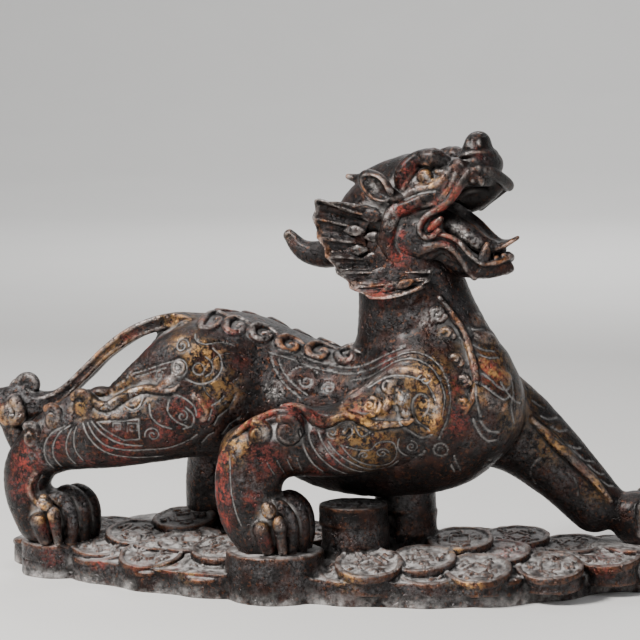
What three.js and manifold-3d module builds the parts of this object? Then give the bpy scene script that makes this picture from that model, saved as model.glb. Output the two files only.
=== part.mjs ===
// A cast bronze beast that strides over a bed of old coins and roars with its head thrown back.
// Millimetres. +X is the way it faces, +Y its left side, +Z up. The origin is under the middle of the base.
import * as THREE from "three";
import { mergeVertices } from "three/addons/utils/BufferGeometryUtils.js";
import Module from "manifold-3d";

const wasm = await Module();
wasm.setup();

// Driving dimensions
const headAt = [30, 0, 125]; // where the head turns on the neck
const headTurn = -12; // degrees, towards the beast's right
const baseTop = 12; // general height of the coin bed
const coinRadius = 12;
const coinThickness = 4;
const stackThickness = 9;
const coinSides = 10;
const squareHole = 7;
const squareDepth = 1;
const scallopCount = 20;
const scallopSides = 3;
const scallopSwell = 4.5;
const innerCoinCount = 10;
const innerCoinInset = 20;
const fanFlutes = 8;
const fluteDepth = 1.5;
const fanReach = 20.5; // from the cheek to the rim, below the ear
const fanPeak = 7.5; // how much further the rim stands out at its top corner
const fanFrom = 148; // degrees, at the ear
const fanTo = 305; // degrees, at the throat
const cheekHalfWidth = 14;
const fanHalfWidth = 22.5; // at the rim
const toeCount = 4;
const lockStations = 7;
const legSides = 8;
const ridgeBar = 2; // half thickness of the raised ridges

const deg = Math.PI / 180;
const vec = (x, y, z) => new THREE.Vector3(x, y, z);
const lerp = THREE.MathUtils.lerp;

// Turns a closed three.js geometry into a solid that can be joined and cut.
function solid(geometry) {
  const bare = geometry.clone();
  bare.deleteAttribute("normal");
  bare.deleteAttribute("uv");
  const merged = mergeVertices(bare, 1e-4);
  const mesh = new wasm.Mesh({
    numProp: 3,
    vertProperties: merged.attributes.position.array,
    triVerts: new Uint32Array(merged.index.array),
  });
  return new wasm.Manifold(mesh);
}

function join(solids) {
  return solids.reduce((sum, next) => sum.add(next));
}

// The same geometry on the other side of the plane y = 0, with its faces still pointing out.
function mirrored(geometry) {
  const copy = geometry.clone().applyMatrix4(new THREE.Matrix4().makeScale(1, -1, 1));
  const index = copy.index.array;
  for (let i = 0; i < index.length; i += 3) {
    [index[i + 1], index[i + 2]] = [index[i + 2], index[i + 1]];
  }
  return copy;
}

// A smooth limb with round ends. Each station is [x, y, z, half width, half height]; the width lies
// along the across direction, and the height at right angles to it and to the limb.
function limb(stations, { sides = 10, steps = 8, across = [0, 1, 0], capRings = 2 } = {}) {
  const line = new THREE.CatmullRomCurve3(stations.map((s) => vec(s[0], s[1], s[2])), false, "centripetal");
  const size = new THREE.CatmullRomCurve3(stations.map((s) => vec(s[3], s[4], 0)), false, "catmullrom", 0.5);
  const rings = steps + 2 * capRings;
  const geometry = new THREE.SphereGeometry(1, sides, rings);
  const position = geometry.attributes.position;
  const acrossAxis = vec(...across);
  for (let i = 0; i < position.count; i++) {
    const unit = vec().fromBufferAttribute(position, i);
    const ring = rings - Math.round((Math.acos(THREE.MathUtils.clamp(unit.y, -1, 1)) / Math.PI) * rings);
    const inStart = Math.max(0, capRings - ring) / capRings;
    const inEnd = Math.max(0, ring - (rings - capRings)) / capRings;
    const t = THREE.MathUtils.clamp((ring - capRings) / steps, 0, 1);
    const centre = line.getPoint(t);
    const half = size.getPoint(t);
    const along = line.getTangent(t);
    const side = acrossAxis.clone().addScaledVector(along, -acrossAxis.dot(along)).normalize();
    const up = vec().crossVectors(side, along);
    const cap = Math.max(inStart, inEnd) * 90 * deg;
    const reach = Math.min(half.x, half.y) * Math.sin(cap) * (inEnd > 0 ? 1 : -1);
    const round = Math.hypot(unit.x, unit.z) || 1;
    const point = centre
      .addScaledVector(along, reach)
      .addScaledVector(side, (unit.x / round) * half.x * Math.cos(cap))
      .addScaledVector(up, (unit.z / round) * half.y * Math.cos(cap));
    position.setXYZ(i, point.x, point.y, point.z);
  }
  return geometry;
}

function blob(centre, radii, [across, down] = [12, 8]) {
  return new THREE.SphereGeometry(1, across, down)
    .rotateX(90 * deg)
    .scale(...radii)
    .translate(...centre);
}

// A curled lock: a tapering round bar wound inwards in an upright plane, starting at the given angle.
function volute(centre, radius, { start = 0, turns = 1.1, bar = 2, way = 1, steps = 4 } = {}) {
  const stations = [];
  for (let i = 0; i < lockStations; i++) {
    const f = i / (lockStations - 1);
    const angle = (start + way * f * turns * 360) * deg;
    const reach = radius * lerp(1, 0.25, f);
    const half = bar * lerp(1, 0.75, f);
    stations.push([
      centre[0] + reach * Math.cos(angle),
      centre[1],
      centre[2] + reach * Math.sin(angle),
      half * 1.6,
      half,
    ]);
  }
  return limb(stations, { sides: 5, steps, capRings: 1 });
}

function disc(x, y, bottom, top, radius, sides = coinSides, turn = 0) {
  return new THREE.CylinderGeometry(radius, radius, top - bottom, sides)
    .rotateX(90 * deg)
    .rotateZ(turn * deg)
    .translate(x, y, (bottom + top) / 2);
}

// A coin with the square hole of old cash, filled to just under the face.
function coin({ x, y, top, turn = 0, radius = coinRadius, bottom = top - coinThickness }) {
  const hole = new THREE.BoxGeometry(squareHole, squareHole, 2 * squareDepth)
    .rotateZ(turn * deg)
    .translate(x, y, top);
  return solid(disc(x, y, bottom, top, radius, coinSides, turn)).subtract(solid(hole));
}

// Base outline, seen from above and going round from the tail end along the right side.
const outline = new THREE.CatmullRomCurve3(
  [
    [-120, 8], [-99, -13], [-68, -31], [-34, -40], [8, -41], [48, -38], [80, -23],
    [108, 4], [126, 20], [110, 35], [76, 38], [28, 37], [-30, 40], [-74, 40], [-105, 29],
  ].map(([x, y]) => vec(x, y, 0)),
  true,
  "centripetal",
);

// A point on the base outline moved inwards, with a gentle rise and fall for the height there.
function edgePoint(share, inset) {
  const at = outline.getPointAt(share);
  const along = outline.getTangentAt(share);
  return {
    x: at.x - along.y * inset,
    y: at.y + along.x * inset,
    rise: 0.8 * Math.sin(share * 47) + 0.5 * Math.sin(share * 89),
  };
}

function makeBase() {
  const corners = [];
  for (let i = 0; i < scallopCount * scallopSides; i++) {
    const swell = Math.abs(Math.sin((i / scallopSides) * Math.PI));
    const { x, y } = edgePoint(i / (scallopCount * scallopSides), -scallopSwell * swell);
    corners.push(new THREE.Vector2(x, y));
  }
  const plate = new THREE.ExtrudeGeometry(new THREE.Shape(corners), { depth: baseTop, bevelEnabled: false });
  const solids = [solid(plate)];
  for (let i = 0; i < innerCoinCount; i++) {
    const { x, y, rise } = edgePoint((i + 0.4) / innerCoinCount, innerCoinInset);
    solids.push(solid(disc(x, y, baseTop - 1, baseTop + 2.6 + rise, coinRadius)));
  }
  // Coins that show best: beside the stacks, in front of the chest and at both ends
  const loose = [
    { x: 52, y: -2, top: 19.2, turn: 10, bottom: 10 },
    { x: 70, y: 14, top: 17.6, turn: 52, bottom: 8 },
    { x: 24, y: -31, top: 17, turn: 38, bottom: 10 },
    { x: 40, y: -20, top: 15.2, turn: 20 },
    { x: 90, y: 16, top: 14.6, turn: 70, bottom: 8 },
    { x: -54, y: 15, top: 20.4, turn: 25, bottom: 10 },
    { x: -66, y: -2, top: 17, turn: 60, bottom: 10 },
    { x: -32, y: -12, top: 16.2, turn: 15, bottom: 10 },
    { x: 4, y: 16, top: 16.6, turn: 33, bottom: 10 },
  ];
  for (const place of loose) {
    solids.push(coin(place));
  }
  // Deep discs that reach the edge of the base: under the four paws, and one behind the tail
  const deep = [
    { x: -8, y: -30, bottom: 0, top: 16.9, radius: 16.5 },
    { x: -97, y: -8, bottom: 0, top: 12.6, radius: 14.5 },
    { x: 113, y: 20, bottom: 0, top: 15.4, radius: 15.5 },
    { x: -40, y: 24, bottom: 6, top: 13.9, radius: 15 },
    { x: -70, y: 30, bottom: 0, top: 13.1, radius: 16.5 },
  ];
  for (const { x, y, bottom, top, radius } of deep) {
    solids.push(solid(disc(x, y, bottom, top, radius)));
  }
  return join(solids);
}

// A pile of coins that carries the chest, each coin a little out of line with the next.
function makeStack(x, y, bottom, top, radius) {
  const count = Math.round((top - bottom) / stackThickness);
  const solids = [];
  for (let i = 0; i < count; i++) {
    const low = lerp(bottom, top, i / count) - 0.3;
    const high = lerp(bottom, top, (i + 1) / count);
    const shiftX = 0.7 * Math.sin(i * 2.1);
    const shiftY = 0.7 * Math.cos(i * 1.7);
    const wide = radius + 0.4 * (i % 2);
    solids.push(solid(disc(x + shiftX, y + shiftY, low, high, wide, coinSides, i * 13)));
  }
  return join(solids);
}

// A clenched paw: a palm and four arched toes. The outer toe is the smallest and is set back.
function makePaw({ x, y, floor, out, size = 1 }) {
  const palmCentre = [x - 4 * size, y, floor + 9.5 * size];
  const palmHalf = [13 * size, 10 * size, 11 * size];
  const solids = [solid(blob(palmCentre, palmHalf, [8, 5]))];
  for (let i = 0; i < toeCount; i++) {
    const inward = i / (toeCount - 1);
    const toeY = y + out * lerp(9, -8, inward) * size;
    const front = x + lerp(0, 12.5, inward) * size;
    const high = floor + lerp(14.5, 17.5, Math.sin(inward * 150 * deg)) * size;
    const wide = lerp(2.6, 3.3, inward) * size;
    const toe = [
      [front - 14 * size, toeY, floor + 9 * size, wide, 5 * size],
      [front - 9 * size, toeY, high - 1.5 * size, wide, 5 * size],
      [front - 3.5 * size, toeY, high - 3.5 * size, wide, 4.6 * size],
      [front, toeY, floor + 6.5 * size, wide, 4 * size],
      [front - 0.5 * size, toeY, floor + 2 * size, wide * 0.8, 3 * size],
    ];
    solids.push(solid(limb(toe, { sides: 5, steps: 3, capRings: 1 })));
  }
  return join(solids);
}

function makeBody() {
  const torso = [
    [-58, 4, 74, 14, 12], [-49, 4, 74, 20, 19], [-34, 3, 71.5, 23, 25.5], [-12, 1, 66, 20, 25],
    [9, -1, 59.5, 20, 26.5], [28, -3, 60.5, 23, 28], [44, -4, 65.5, 24, 29], [54, -4.5, 68, 21, 24],
  ];
  const neck = [
    [40, -4, 80, 18, 27], [36.5, -3.5, 97, 16.5, 21.5], [33.5, -3, 110, 15.5, 18.5], [28, -1, 122, 15, 16],
  ];
  const parts = [
    limb(torso, { sides: 12, steps: 8, capRings: 2 }),
    limb(neck, { sides: 9, steps: 4, capRings: 1 }),
    blob([41, -18, 73], [18, 12, 18.5], [10, 6]), // right shoulder
    blob([47, 11, 70], [17, 12, 19], [10, 6]), // left shoulder
    blob([-40, -12, 71], [21, 14, 22], [10, 6]), // right hip
    blob([-42, 15, 70], [20, 14, 22], [10, 6]), // left hip
  ];
  return join(parts.map(solid));
}

function makeLegs() {
  const rightThigh = [
    [-38, -13, 64, 12, 17], [-56, -16, 58.5, 12.5, 14.5],
    [-76, -17.5, 54.5, 11.5, 13.5], [-93, -17, 50, 9.5, 10.5],
  ];
  const rightShank = [
    [-97, -16.5, 49, 9, 9.5], [-105, -15.5, 41, 8.5, 9.5], [-107, -15, 31, 8, 8.2], [-105, -14.5, 20, 8, 8],
  ];
  const rightUpperArm = [
    [36, -20, 66, 12, 19], [16, -27, 56.5, 11, 13], [-4, -30.5, 55, 10, 12], [-17, -32.5, 51, 9, 10.5],
  ];
  const rightForearm = [
    [-15.5, -33, 51, 9, 12.5], [-17.5, -34, 41, 9, 12], [-17, -34, 30, 9, 11], [-15, -33.5, 22, 8.5, 9],
  ];
  const leftHindLeg = [
    [-42, 16, 60, 13, 17], [-44, 21, 45, 10.5, 12], [-48, 23.5, 32, 8.5, 9.5], [-49, 24, 21, 8, 8.5],
  ];
  const leftForeLeg = [
    [55, 11, 63, 13, 20], [70, 17, 54, 12, 15.5], [84, 20, 42, 10.5, 12.5], [98, 21, 28, 9.5, 10.5],
  ];
  const legs = [rightThigh, rightShank, rightUpperArm, rightForearm, leftHindLeg, leftForeLeg];
  const paws = [
    { x: -93, y: -14, floor: 12, out: -1 },
    { x: -5, y: -34, floor: 16.5, out: -1 },
    { x: -34, y: 24, floor: 13.5, out: 1 },
    { x: 116, y: 21, floor: 15, out: 1, size: 0.95 },
  ];
  return join([
    ...legs.map((stations) => solid(limb(stations, { sides: legSides, steps: 3, capRings: 1 }))),
    ...paws.map(makePaw),
  ]);
}

// Curled locks on the heel, the elbow and the tail, and the raised ridges on thigh and forearm.
function makeLocks() {
  const curls = [
    volute([-85, -23, 64.5], 4, { start: 150, way: -1, bar: 2 }),
    volute([-96, -22, 59], 4.4, { start: 150, way: -1, bar: 2.1 }),
    volute([-105, -21, 52], 4.4, { start: 150, way: -1, bar: 2.1 }),
    volute([-4, -39, 58.5], 4.6, { start: 90, way: -1, bar: 2.3 }),
    volute([-15, -39, 55.5], 3.8, { start: 90, way: -1, bar: 2.1 }),
    volute([-22, -38, 50], 3.4, { start: 110, way: -1, bar: 2 }),
    volute([-40, 30, 52], 4.2, { start: 90, way: -1, bar: 2.2 }),
    volute([-110, -5, 68], 4.4, { start: 210, way: -1, turns: 0.9, bar: 2.3 }),
    volute([-116.5, -9, 58.5], 5, { start: 60, way: -1, turns: 1.3, bar: 2.2 }),
    volute([-126, -5, 62], 4, { start: 330, way: -1, turns: 1, bar: 2.3 }),
  ];
  const bar = (points) => points.map((point) => [...point, ridgeBar, ridgeBar]);
  const thighRidge = bar([
    [-38, -27.5, 67], [-52, -28.5, 66], [-64, -28, 62.5], [-78, -26, 62], [-86, -23, 66],
  ]);
  const armRidge = bar([
    [38, -31, 61], [26, -35, 61], [10, -37, 60.5], [0, -38, 64],
    [-14, -38, 63], [-25, -36, 54], [-27, -36, 45],
  ]);
  const foreLegRidge = bar([[70, 10, 66], [84, 12, 51], [100, 13, 35]]);
  const ridges = [thighRidge, armRidge, foreLegRidge].map((stations) =>
    solid(limb(stations, { sides: 4, steps: 6, capRings: 1 })),
  );
  return join([...curls.map(solid), ...ridges]);
}

function makeTail() {
  const strap = [
    [-42, 2, 92, 6, 4], [-54, 0, 94, 4.6, 2.8], [-66, -2, 90.5, 4.4, 2.7],
    [-77, -3.5, 83.5, 4.3, 2.7], [-87, -4.5, 74, 4.3, 2.7], [-97, -5.5, 65, 4.6, 3], [-110, -6, 60, 6, 4],
  ];
  const tuft = [[-103, -6, 61, 5, 4], [-112, -6, 60, 7, 6.5], [-120, -5, 60, 6, 5.5], [-127, -4, 64, 3.4, 3]];
  const tuftFoot = [[-116, -7, 58, 5, 5], [-111, -12, 50, 4, 4]]; // where the tuft rests on the hock
  return join([
    solid(limb(strap, { sides: 6, steps: 8, capRings: 1 })),
    solid(limb(tuft, { sides: 8, steps: 4, capRings: 1 })),
    solid(limb(tuftFoot, { sides: 5, steps: 2, capRings: 1 })),
  ]);
}

// One side of the mane: a thin fluted fan that flares from the cheek, in the head's own frame.
// Angles run from the ear round the back to the throat.
function fanGeometry() {
  const around = fanFlutes * 2;
  const geometry = new THREE.BoxGeometry(1, 1, 1, around, 1, 1);
  const position = geometry.attributes.position;
  for (let i = 0; i < position.count; i++) {
    const a = position.getX(i) + 0.5;
    const r = position.getY(i) + 0.5;
    const face = position.getZ(i);
    const angle = lerp(fanFrom, fanTo, a) * deg;
    const rim = fanReach + fanPeak * Math.max(0, Math.cos(angle - fanFrom * deg)) ** 2;
    const scallop = 0.6 * Math.abs(Math.sin(a * fanFlutes * Math.PI));
    const reach = lerp(9, rim + scallop, r);
    const flute = 0.5 * fluteDepth * Math.cos(a * fanFlutes * 2 * Math.PI) * Math.sqrt(r);
    const lateral = lerp(cheekHalfWidth, fanHalfWidth, r) + flute + 2 * face * lerp(2.4, 1.1, r);
    position.setXYZ(i, 1 + reach * Math.cos(angle), -lateral, 1 + reach * Math.sin(angle));
  }
  return turnedOut(geometry);
}

// Turns the faces of a closed geometry to point outwards, whatever way it was bent.
function turnedOut(geometry) {
  const position = geometry.attributes.position;
  const index = geometry.index.array;
  const corner = [vec(), vec(), vec()];
  let volume = 0;
  for (let i = 0; i < index.length; i += 3) {
    corner.forEach((c, k) => c.fromBufferAttribute(position, index[i + k]));
    volume += corner[0].dot(corner[1].clone().cross(corner[2]));
  }
  if (volume < 0) {
    for (let i = 0; i < index.length; i += 3) {
      [index[i + 1], index[i + 2]] = [index[i + 2], index[i + 1]];
    }
  }
  return geometry;
}

// The head in its own frame: x forward, y to the left, z up, origin where it turns on the neck.
function makeHead() {
  const skull = [[-18, 0, 3, 12, 10], [-9, 0, 8.5, 14, 14.5], [1, 0, 11.5, 15, 16], [9, 0, 14, 14, 15]];
  const snout = [[6, 0, 19, 14, 11], [16, 0, 21, 12.5, 9.5], [24, 0, 24.5, 11, 8.5], [30, 0, 26, 10, 8]];
  const frontLip = [[33, 0, 30, 8, 3.5], [35.5, 0, 24, 9.5, 3], [36, 0, 19, 8, 2.2]];
  const palate = [[14, 5, 14, 6, 6], [25, 6, 16, 5.5, 6], [33, 6, 19, 4, 4.5]]; // hangs lower on the left
  const jaw = [
    [5, 0, -4, 12.5, 9], [16, 0, -4.5, 11.5, 7], [25, 0, -8.5, 10, 4.6],
    [33, 0, -10, 9, 3.2], [38.5, 0, -8, 6.5, 3],
  ];
  const tongue = [
    [13, 0, 4, 7, 4.5], [22, 0, 4, 7, 4.5], [29, 0, 0.5, 6.5, 5],
    [35, 0, -3, 6, 3.2], [39, 0, -1.4, 4.4, 1.6], [43.5, 0, 1, 1.8, 0.8],
  ];
  const horn = [[-20, 0, -2, 8, 8], [-30, 0, -6.5, 5, 5.5], [-39, 0, -5.5, 3.8, 4], [-45, 0, 0, 2.2, 2.4]];
  const middle = [
    limb(skull, { sides: 9, steps: 3 }),
    blob([3, 0, -1], [16, 15.5, 13.5], [9, 6]), // cheeks
    limb(snout, { sides: 8, steps: 3, capRings: 1 }),
    blob([28, 0, 33], [5.5, 8.5, 4.8], [7, 5]), // tip of the nose
    limb(frontLip, { sides: 6, steps: 2, capRings: 1 }),
    limb(palate, { sides: 6, steps: 3, capRings: 1 }),
    limb(jaw, { sides: 8, steps: 5, capRings: 1 }),
    limb(tongue, { sides: 6, steps: 5, capRings: 1 }),
    limb(horn, { sides: 6, steps: 4, capRings: 1 }),
  ];

  // What the head has on both sides, given for its right
  const brow = [[2, -13, 17, 3, 3], [6, -13.5, 24, 3, 3], [13, -12, 29.5, 3, 2.6], [19, -10, 28, 2, 2]];
  const cheekRidge = [
    [0, -15, -11, 2.6, 2.4], [-4.5, -16.5, -6, 2.8, 2.4], [-6, -17, 2, 2.8, 2.4],
    [-2, -16.5, 10.5, 2.8, 2.4], [5, -15.5, 11.5, 2.2, 2],
  ];
  const upperLip = [
    [12.5, -13.5, 3, 2, 1.8], [13.5, -13, 8, 2, 1.8], [19, -12.4, 10.8, 2, 1.6], [24, -11.6, 15.2, 2, 1.6],
    [27.5, -10.6, 22, 2, 1.6], [32, -9.5, 25, 2, 1.8],
  ];
  const lowerLip = [
    [13, -13.5, 3, 2, 1.8], [15, -13, 0.6, 2, 1.7], [19.5, -12, 2, 2, 1.7], [24.5, -10.8, -0.8, 2, 1.7],
    [29, -9.6, -6, 2, 1.6], [35, -8, -7.5, 2, 1.6], [40, -4, -5.5, 2, 1.6],
  ];
  const upperCanine = [[34, -8, 24, 2, 2], [35, -8.2, 20, 1.4, 1.4], [35.5, -8, 17, 0.7, 0.7]];
  const lowerCanine = [[35, -7.5, -8, 1.9, 2], [36.3, -7.4, -3.5, 1.5, 1.6], [37, -7, 0, 0.6, 0.6]];
  const ear = [
    [4, -14.5, 15, 2, 3], [-2.5, -17, 18.6, 2.4, 4], [-8, -18, 21.5, 1.6, 2.6], [-11, -18, 23, 0.8, 0.8],
  ];
  const paired = [
    fanGeometry(),
    limb(brow, { sides: 4, steps: 4, capRings: 1 }),
    blob([14, -13, 22.6], [3.4, 2.6, 3], [6, 5]), // eye
    limb(cheekRidge, { sides: 4, steps: 4, capRings: 1 }),
    limb(upperLip, { sides: 4, steps: 5, capRings: 1 }),
    limb(lowerLip, { sides: 4, steps: 5, capRings: 1 }),
    limb(upperCanine, { sides: 4, steps: 2, capRings: 1 }),
    limb(lowerCanine, { sides: 4, steps: 2, capRings: 1 }),
    limb(ear, { sides: 6, steps: 4, capRings: 1 }),
  ];
  const place = new THREE.Matrix4().makeRotationZ(headTurn * deg).setPosition(...headAt);
  const all = [...middle, ...paired, ...paired.map(mirrored)];
  return join(all.map((geometry) => solid(geometry.applyMatrix4(place))));
}

const stacks = join([makeStack(31.5, 3, 10, 36, 11.2), makeStack(16, -14, 10, 31.5, 12.4)]);
const figure = join([makeBody(), makeLegs(), makeLocks(), makeTail(), makeHead()]);
const whole = join([makeBase(), stacks, figure]);

const made = whole.getMesh();
const geometry = new THREE.BufferGeometry();
geometry.setAttribute("position", new THREE.BufferAttribute(new Float32Array(made.vertProperties), 3));
geometry.setIndex(new THREE.BufferAttribute(new Uint32Array(made.triVerts), 1));
geometry.computeVertexNormals();

const bronze = new THREE.MeshStandardMaterial({ color: 0x3a2a22, roughness: 0.45, metalness: 0.8 });
const beast = new THREE.Mesh(geometry, bronze);
beast.name = "beast_on_coins";

const sculpture = new THREE.Group();
sculpture.add(beast);

export default sculpture;
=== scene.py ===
import math
import bpy
import numpy as np
import openvdb
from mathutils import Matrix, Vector


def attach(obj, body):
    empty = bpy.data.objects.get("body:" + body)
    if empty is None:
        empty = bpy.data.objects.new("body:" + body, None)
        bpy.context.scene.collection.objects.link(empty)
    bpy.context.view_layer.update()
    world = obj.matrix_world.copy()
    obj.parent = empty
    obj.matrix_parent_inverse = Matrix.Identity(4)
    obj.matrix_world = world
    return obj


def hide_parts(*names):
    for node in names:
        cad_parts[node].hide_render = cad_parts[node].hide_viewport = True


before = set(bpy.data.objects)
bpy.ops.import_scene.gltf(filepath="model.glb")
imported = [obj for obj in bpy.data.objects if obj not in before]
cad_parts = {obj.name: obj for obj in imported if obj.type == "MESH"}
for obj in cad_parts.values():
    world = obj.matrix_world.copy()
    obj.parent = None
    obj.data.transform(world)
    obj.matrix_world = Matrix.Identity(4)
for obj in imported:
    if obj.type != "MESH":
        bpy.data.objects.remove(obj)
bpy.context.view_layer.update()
print("frame loaded:", list(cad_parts))

# The beast is sculpted in millimetres, as blocks of space that hold the distance to the metal
sculpting = {
    "step": 0.4,  # distance between samples on the body and the coins
    "limbStep": 0.33,  # on the head and the two near legs
    "quickStep": 1.0,
    "farAway": 9.0,
    "margin": 1.5,  # how far past its blend a shape is worked out
    "thinnest": 0.2,  # half width of the thinnest limb
    "overrun": 3.0,  # how far a joint between two stretches of a limb may reach past its end
    "band": 3.0,  # distances beyond this are alike to the mesher
    "longestStroke": 4.0,  # a longer step in a drawn line is a jump over a gap
    "triangles": 190000,  # for each piece
    "edgeGain": 4.0,  # how strongly ridges and creases, hollows and drawn lines show in the finish
    "hollowGain": 0.9,
    "raisedGain": 2.0,
    "grooveGain": 4.5,
    "grooveFrom": 1.0,
}


def smoothStations(stations, spacing):
    # Runs a smooth curve through stations of [x, y, z, ...]; everything after z is eased the same way
    rows = np.array(stations, float)
    rows = np.vstack([2 * rows[0] - rows[1], rows, 2 * rows[-1] - rows[-2]])
    made = []
    for i in range(1, len(rows) - 2):
        p = rows[i - 1:i + 3]
        gaps = np.sqrt(np.maximum(np.linalg.norm(np.diff(p[:, :3], axis=0), axis=1), 1e-3))
        t0, t1, t2, t3 = np.concatenate([[0], np.cumsum(gaps)])
        count = max(2, math.ceil(gaps[1] ** 2 / spacing))
        t = np.linspace(t1, t2, count, endpoint=False)[:, None]
        a1 = (t1 - t) / (t1 - t0) * p[0] + (t - t0) / (t1 - t0) * p[1]
        a2 = (t2 - t) / (t2 - t1) * p[1] + (t - t1) / (t2 - t1) * p[2]
        a3 = (t3 - t) / (t3 - t2) * p[2] + (t - t2) / (t3 - t2) * p[3]
        b1 = (t2 - t) / (t2 - t0) * a1 + (t - t0) / (t2 - t0) * a2
        b2 = (t3 - t) / (t3 - t1) * a2 + (t - t1) / (t3 - t1) * a3
        made.append((t2 - t) / (t2 - t1) * b1 + (t - t1) / (t2 - t1) * b2)
    made.append(rows[-2][None])
    return np.vstack(made)


def limb(stations, across=(0, 1, 0), spacing=2.5):
    # A round-ended limb; each station is [x, y, z, half width, half height]
    rows = smoothStations(stations, spacing)
    return {"line": rows[:, :3], "half": np.maximum(rows[:, 3:5], sculpting["thinnest"]),
            "across": np.array(across, float)}


def tube(points, thick, thin=None, spacing=1.2, flat=1.0):
    # A round bar through the points; thick is one half thickness, or one for each point
    share = np.linspace(0, 1, len(points))
    thin = thick if thin is None else thin
    half = thick if isinstance(thick, (list, tuple)) else thick + (thin - thick) * share
    return limb([[*p, h * flat, h] for p, h in zip(points, half)], spacing=spacing)


def ball(centre, radii, turn=0, tilt=0):
    # An egg shape, tilted nose up about y and then turned about z, in degrees
    a, b = math.radians(turn), math.radians(tilt)
    turnMat = np.array([[math.cos(a), -math.sin(a), 0], [math.sin(a), math.cos(a), 0], [0, 0, 1]])
    tiltMat = np.array([[math.cos(b), 0, -math.sin(b)], [0, 1, 0], [math.sin(b), 0, math.cos(b)]])
    return {"centre": np.array(centre, float), "radii": np.array(radii, float), "axes": turnMat @ tiltMat}


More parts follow.
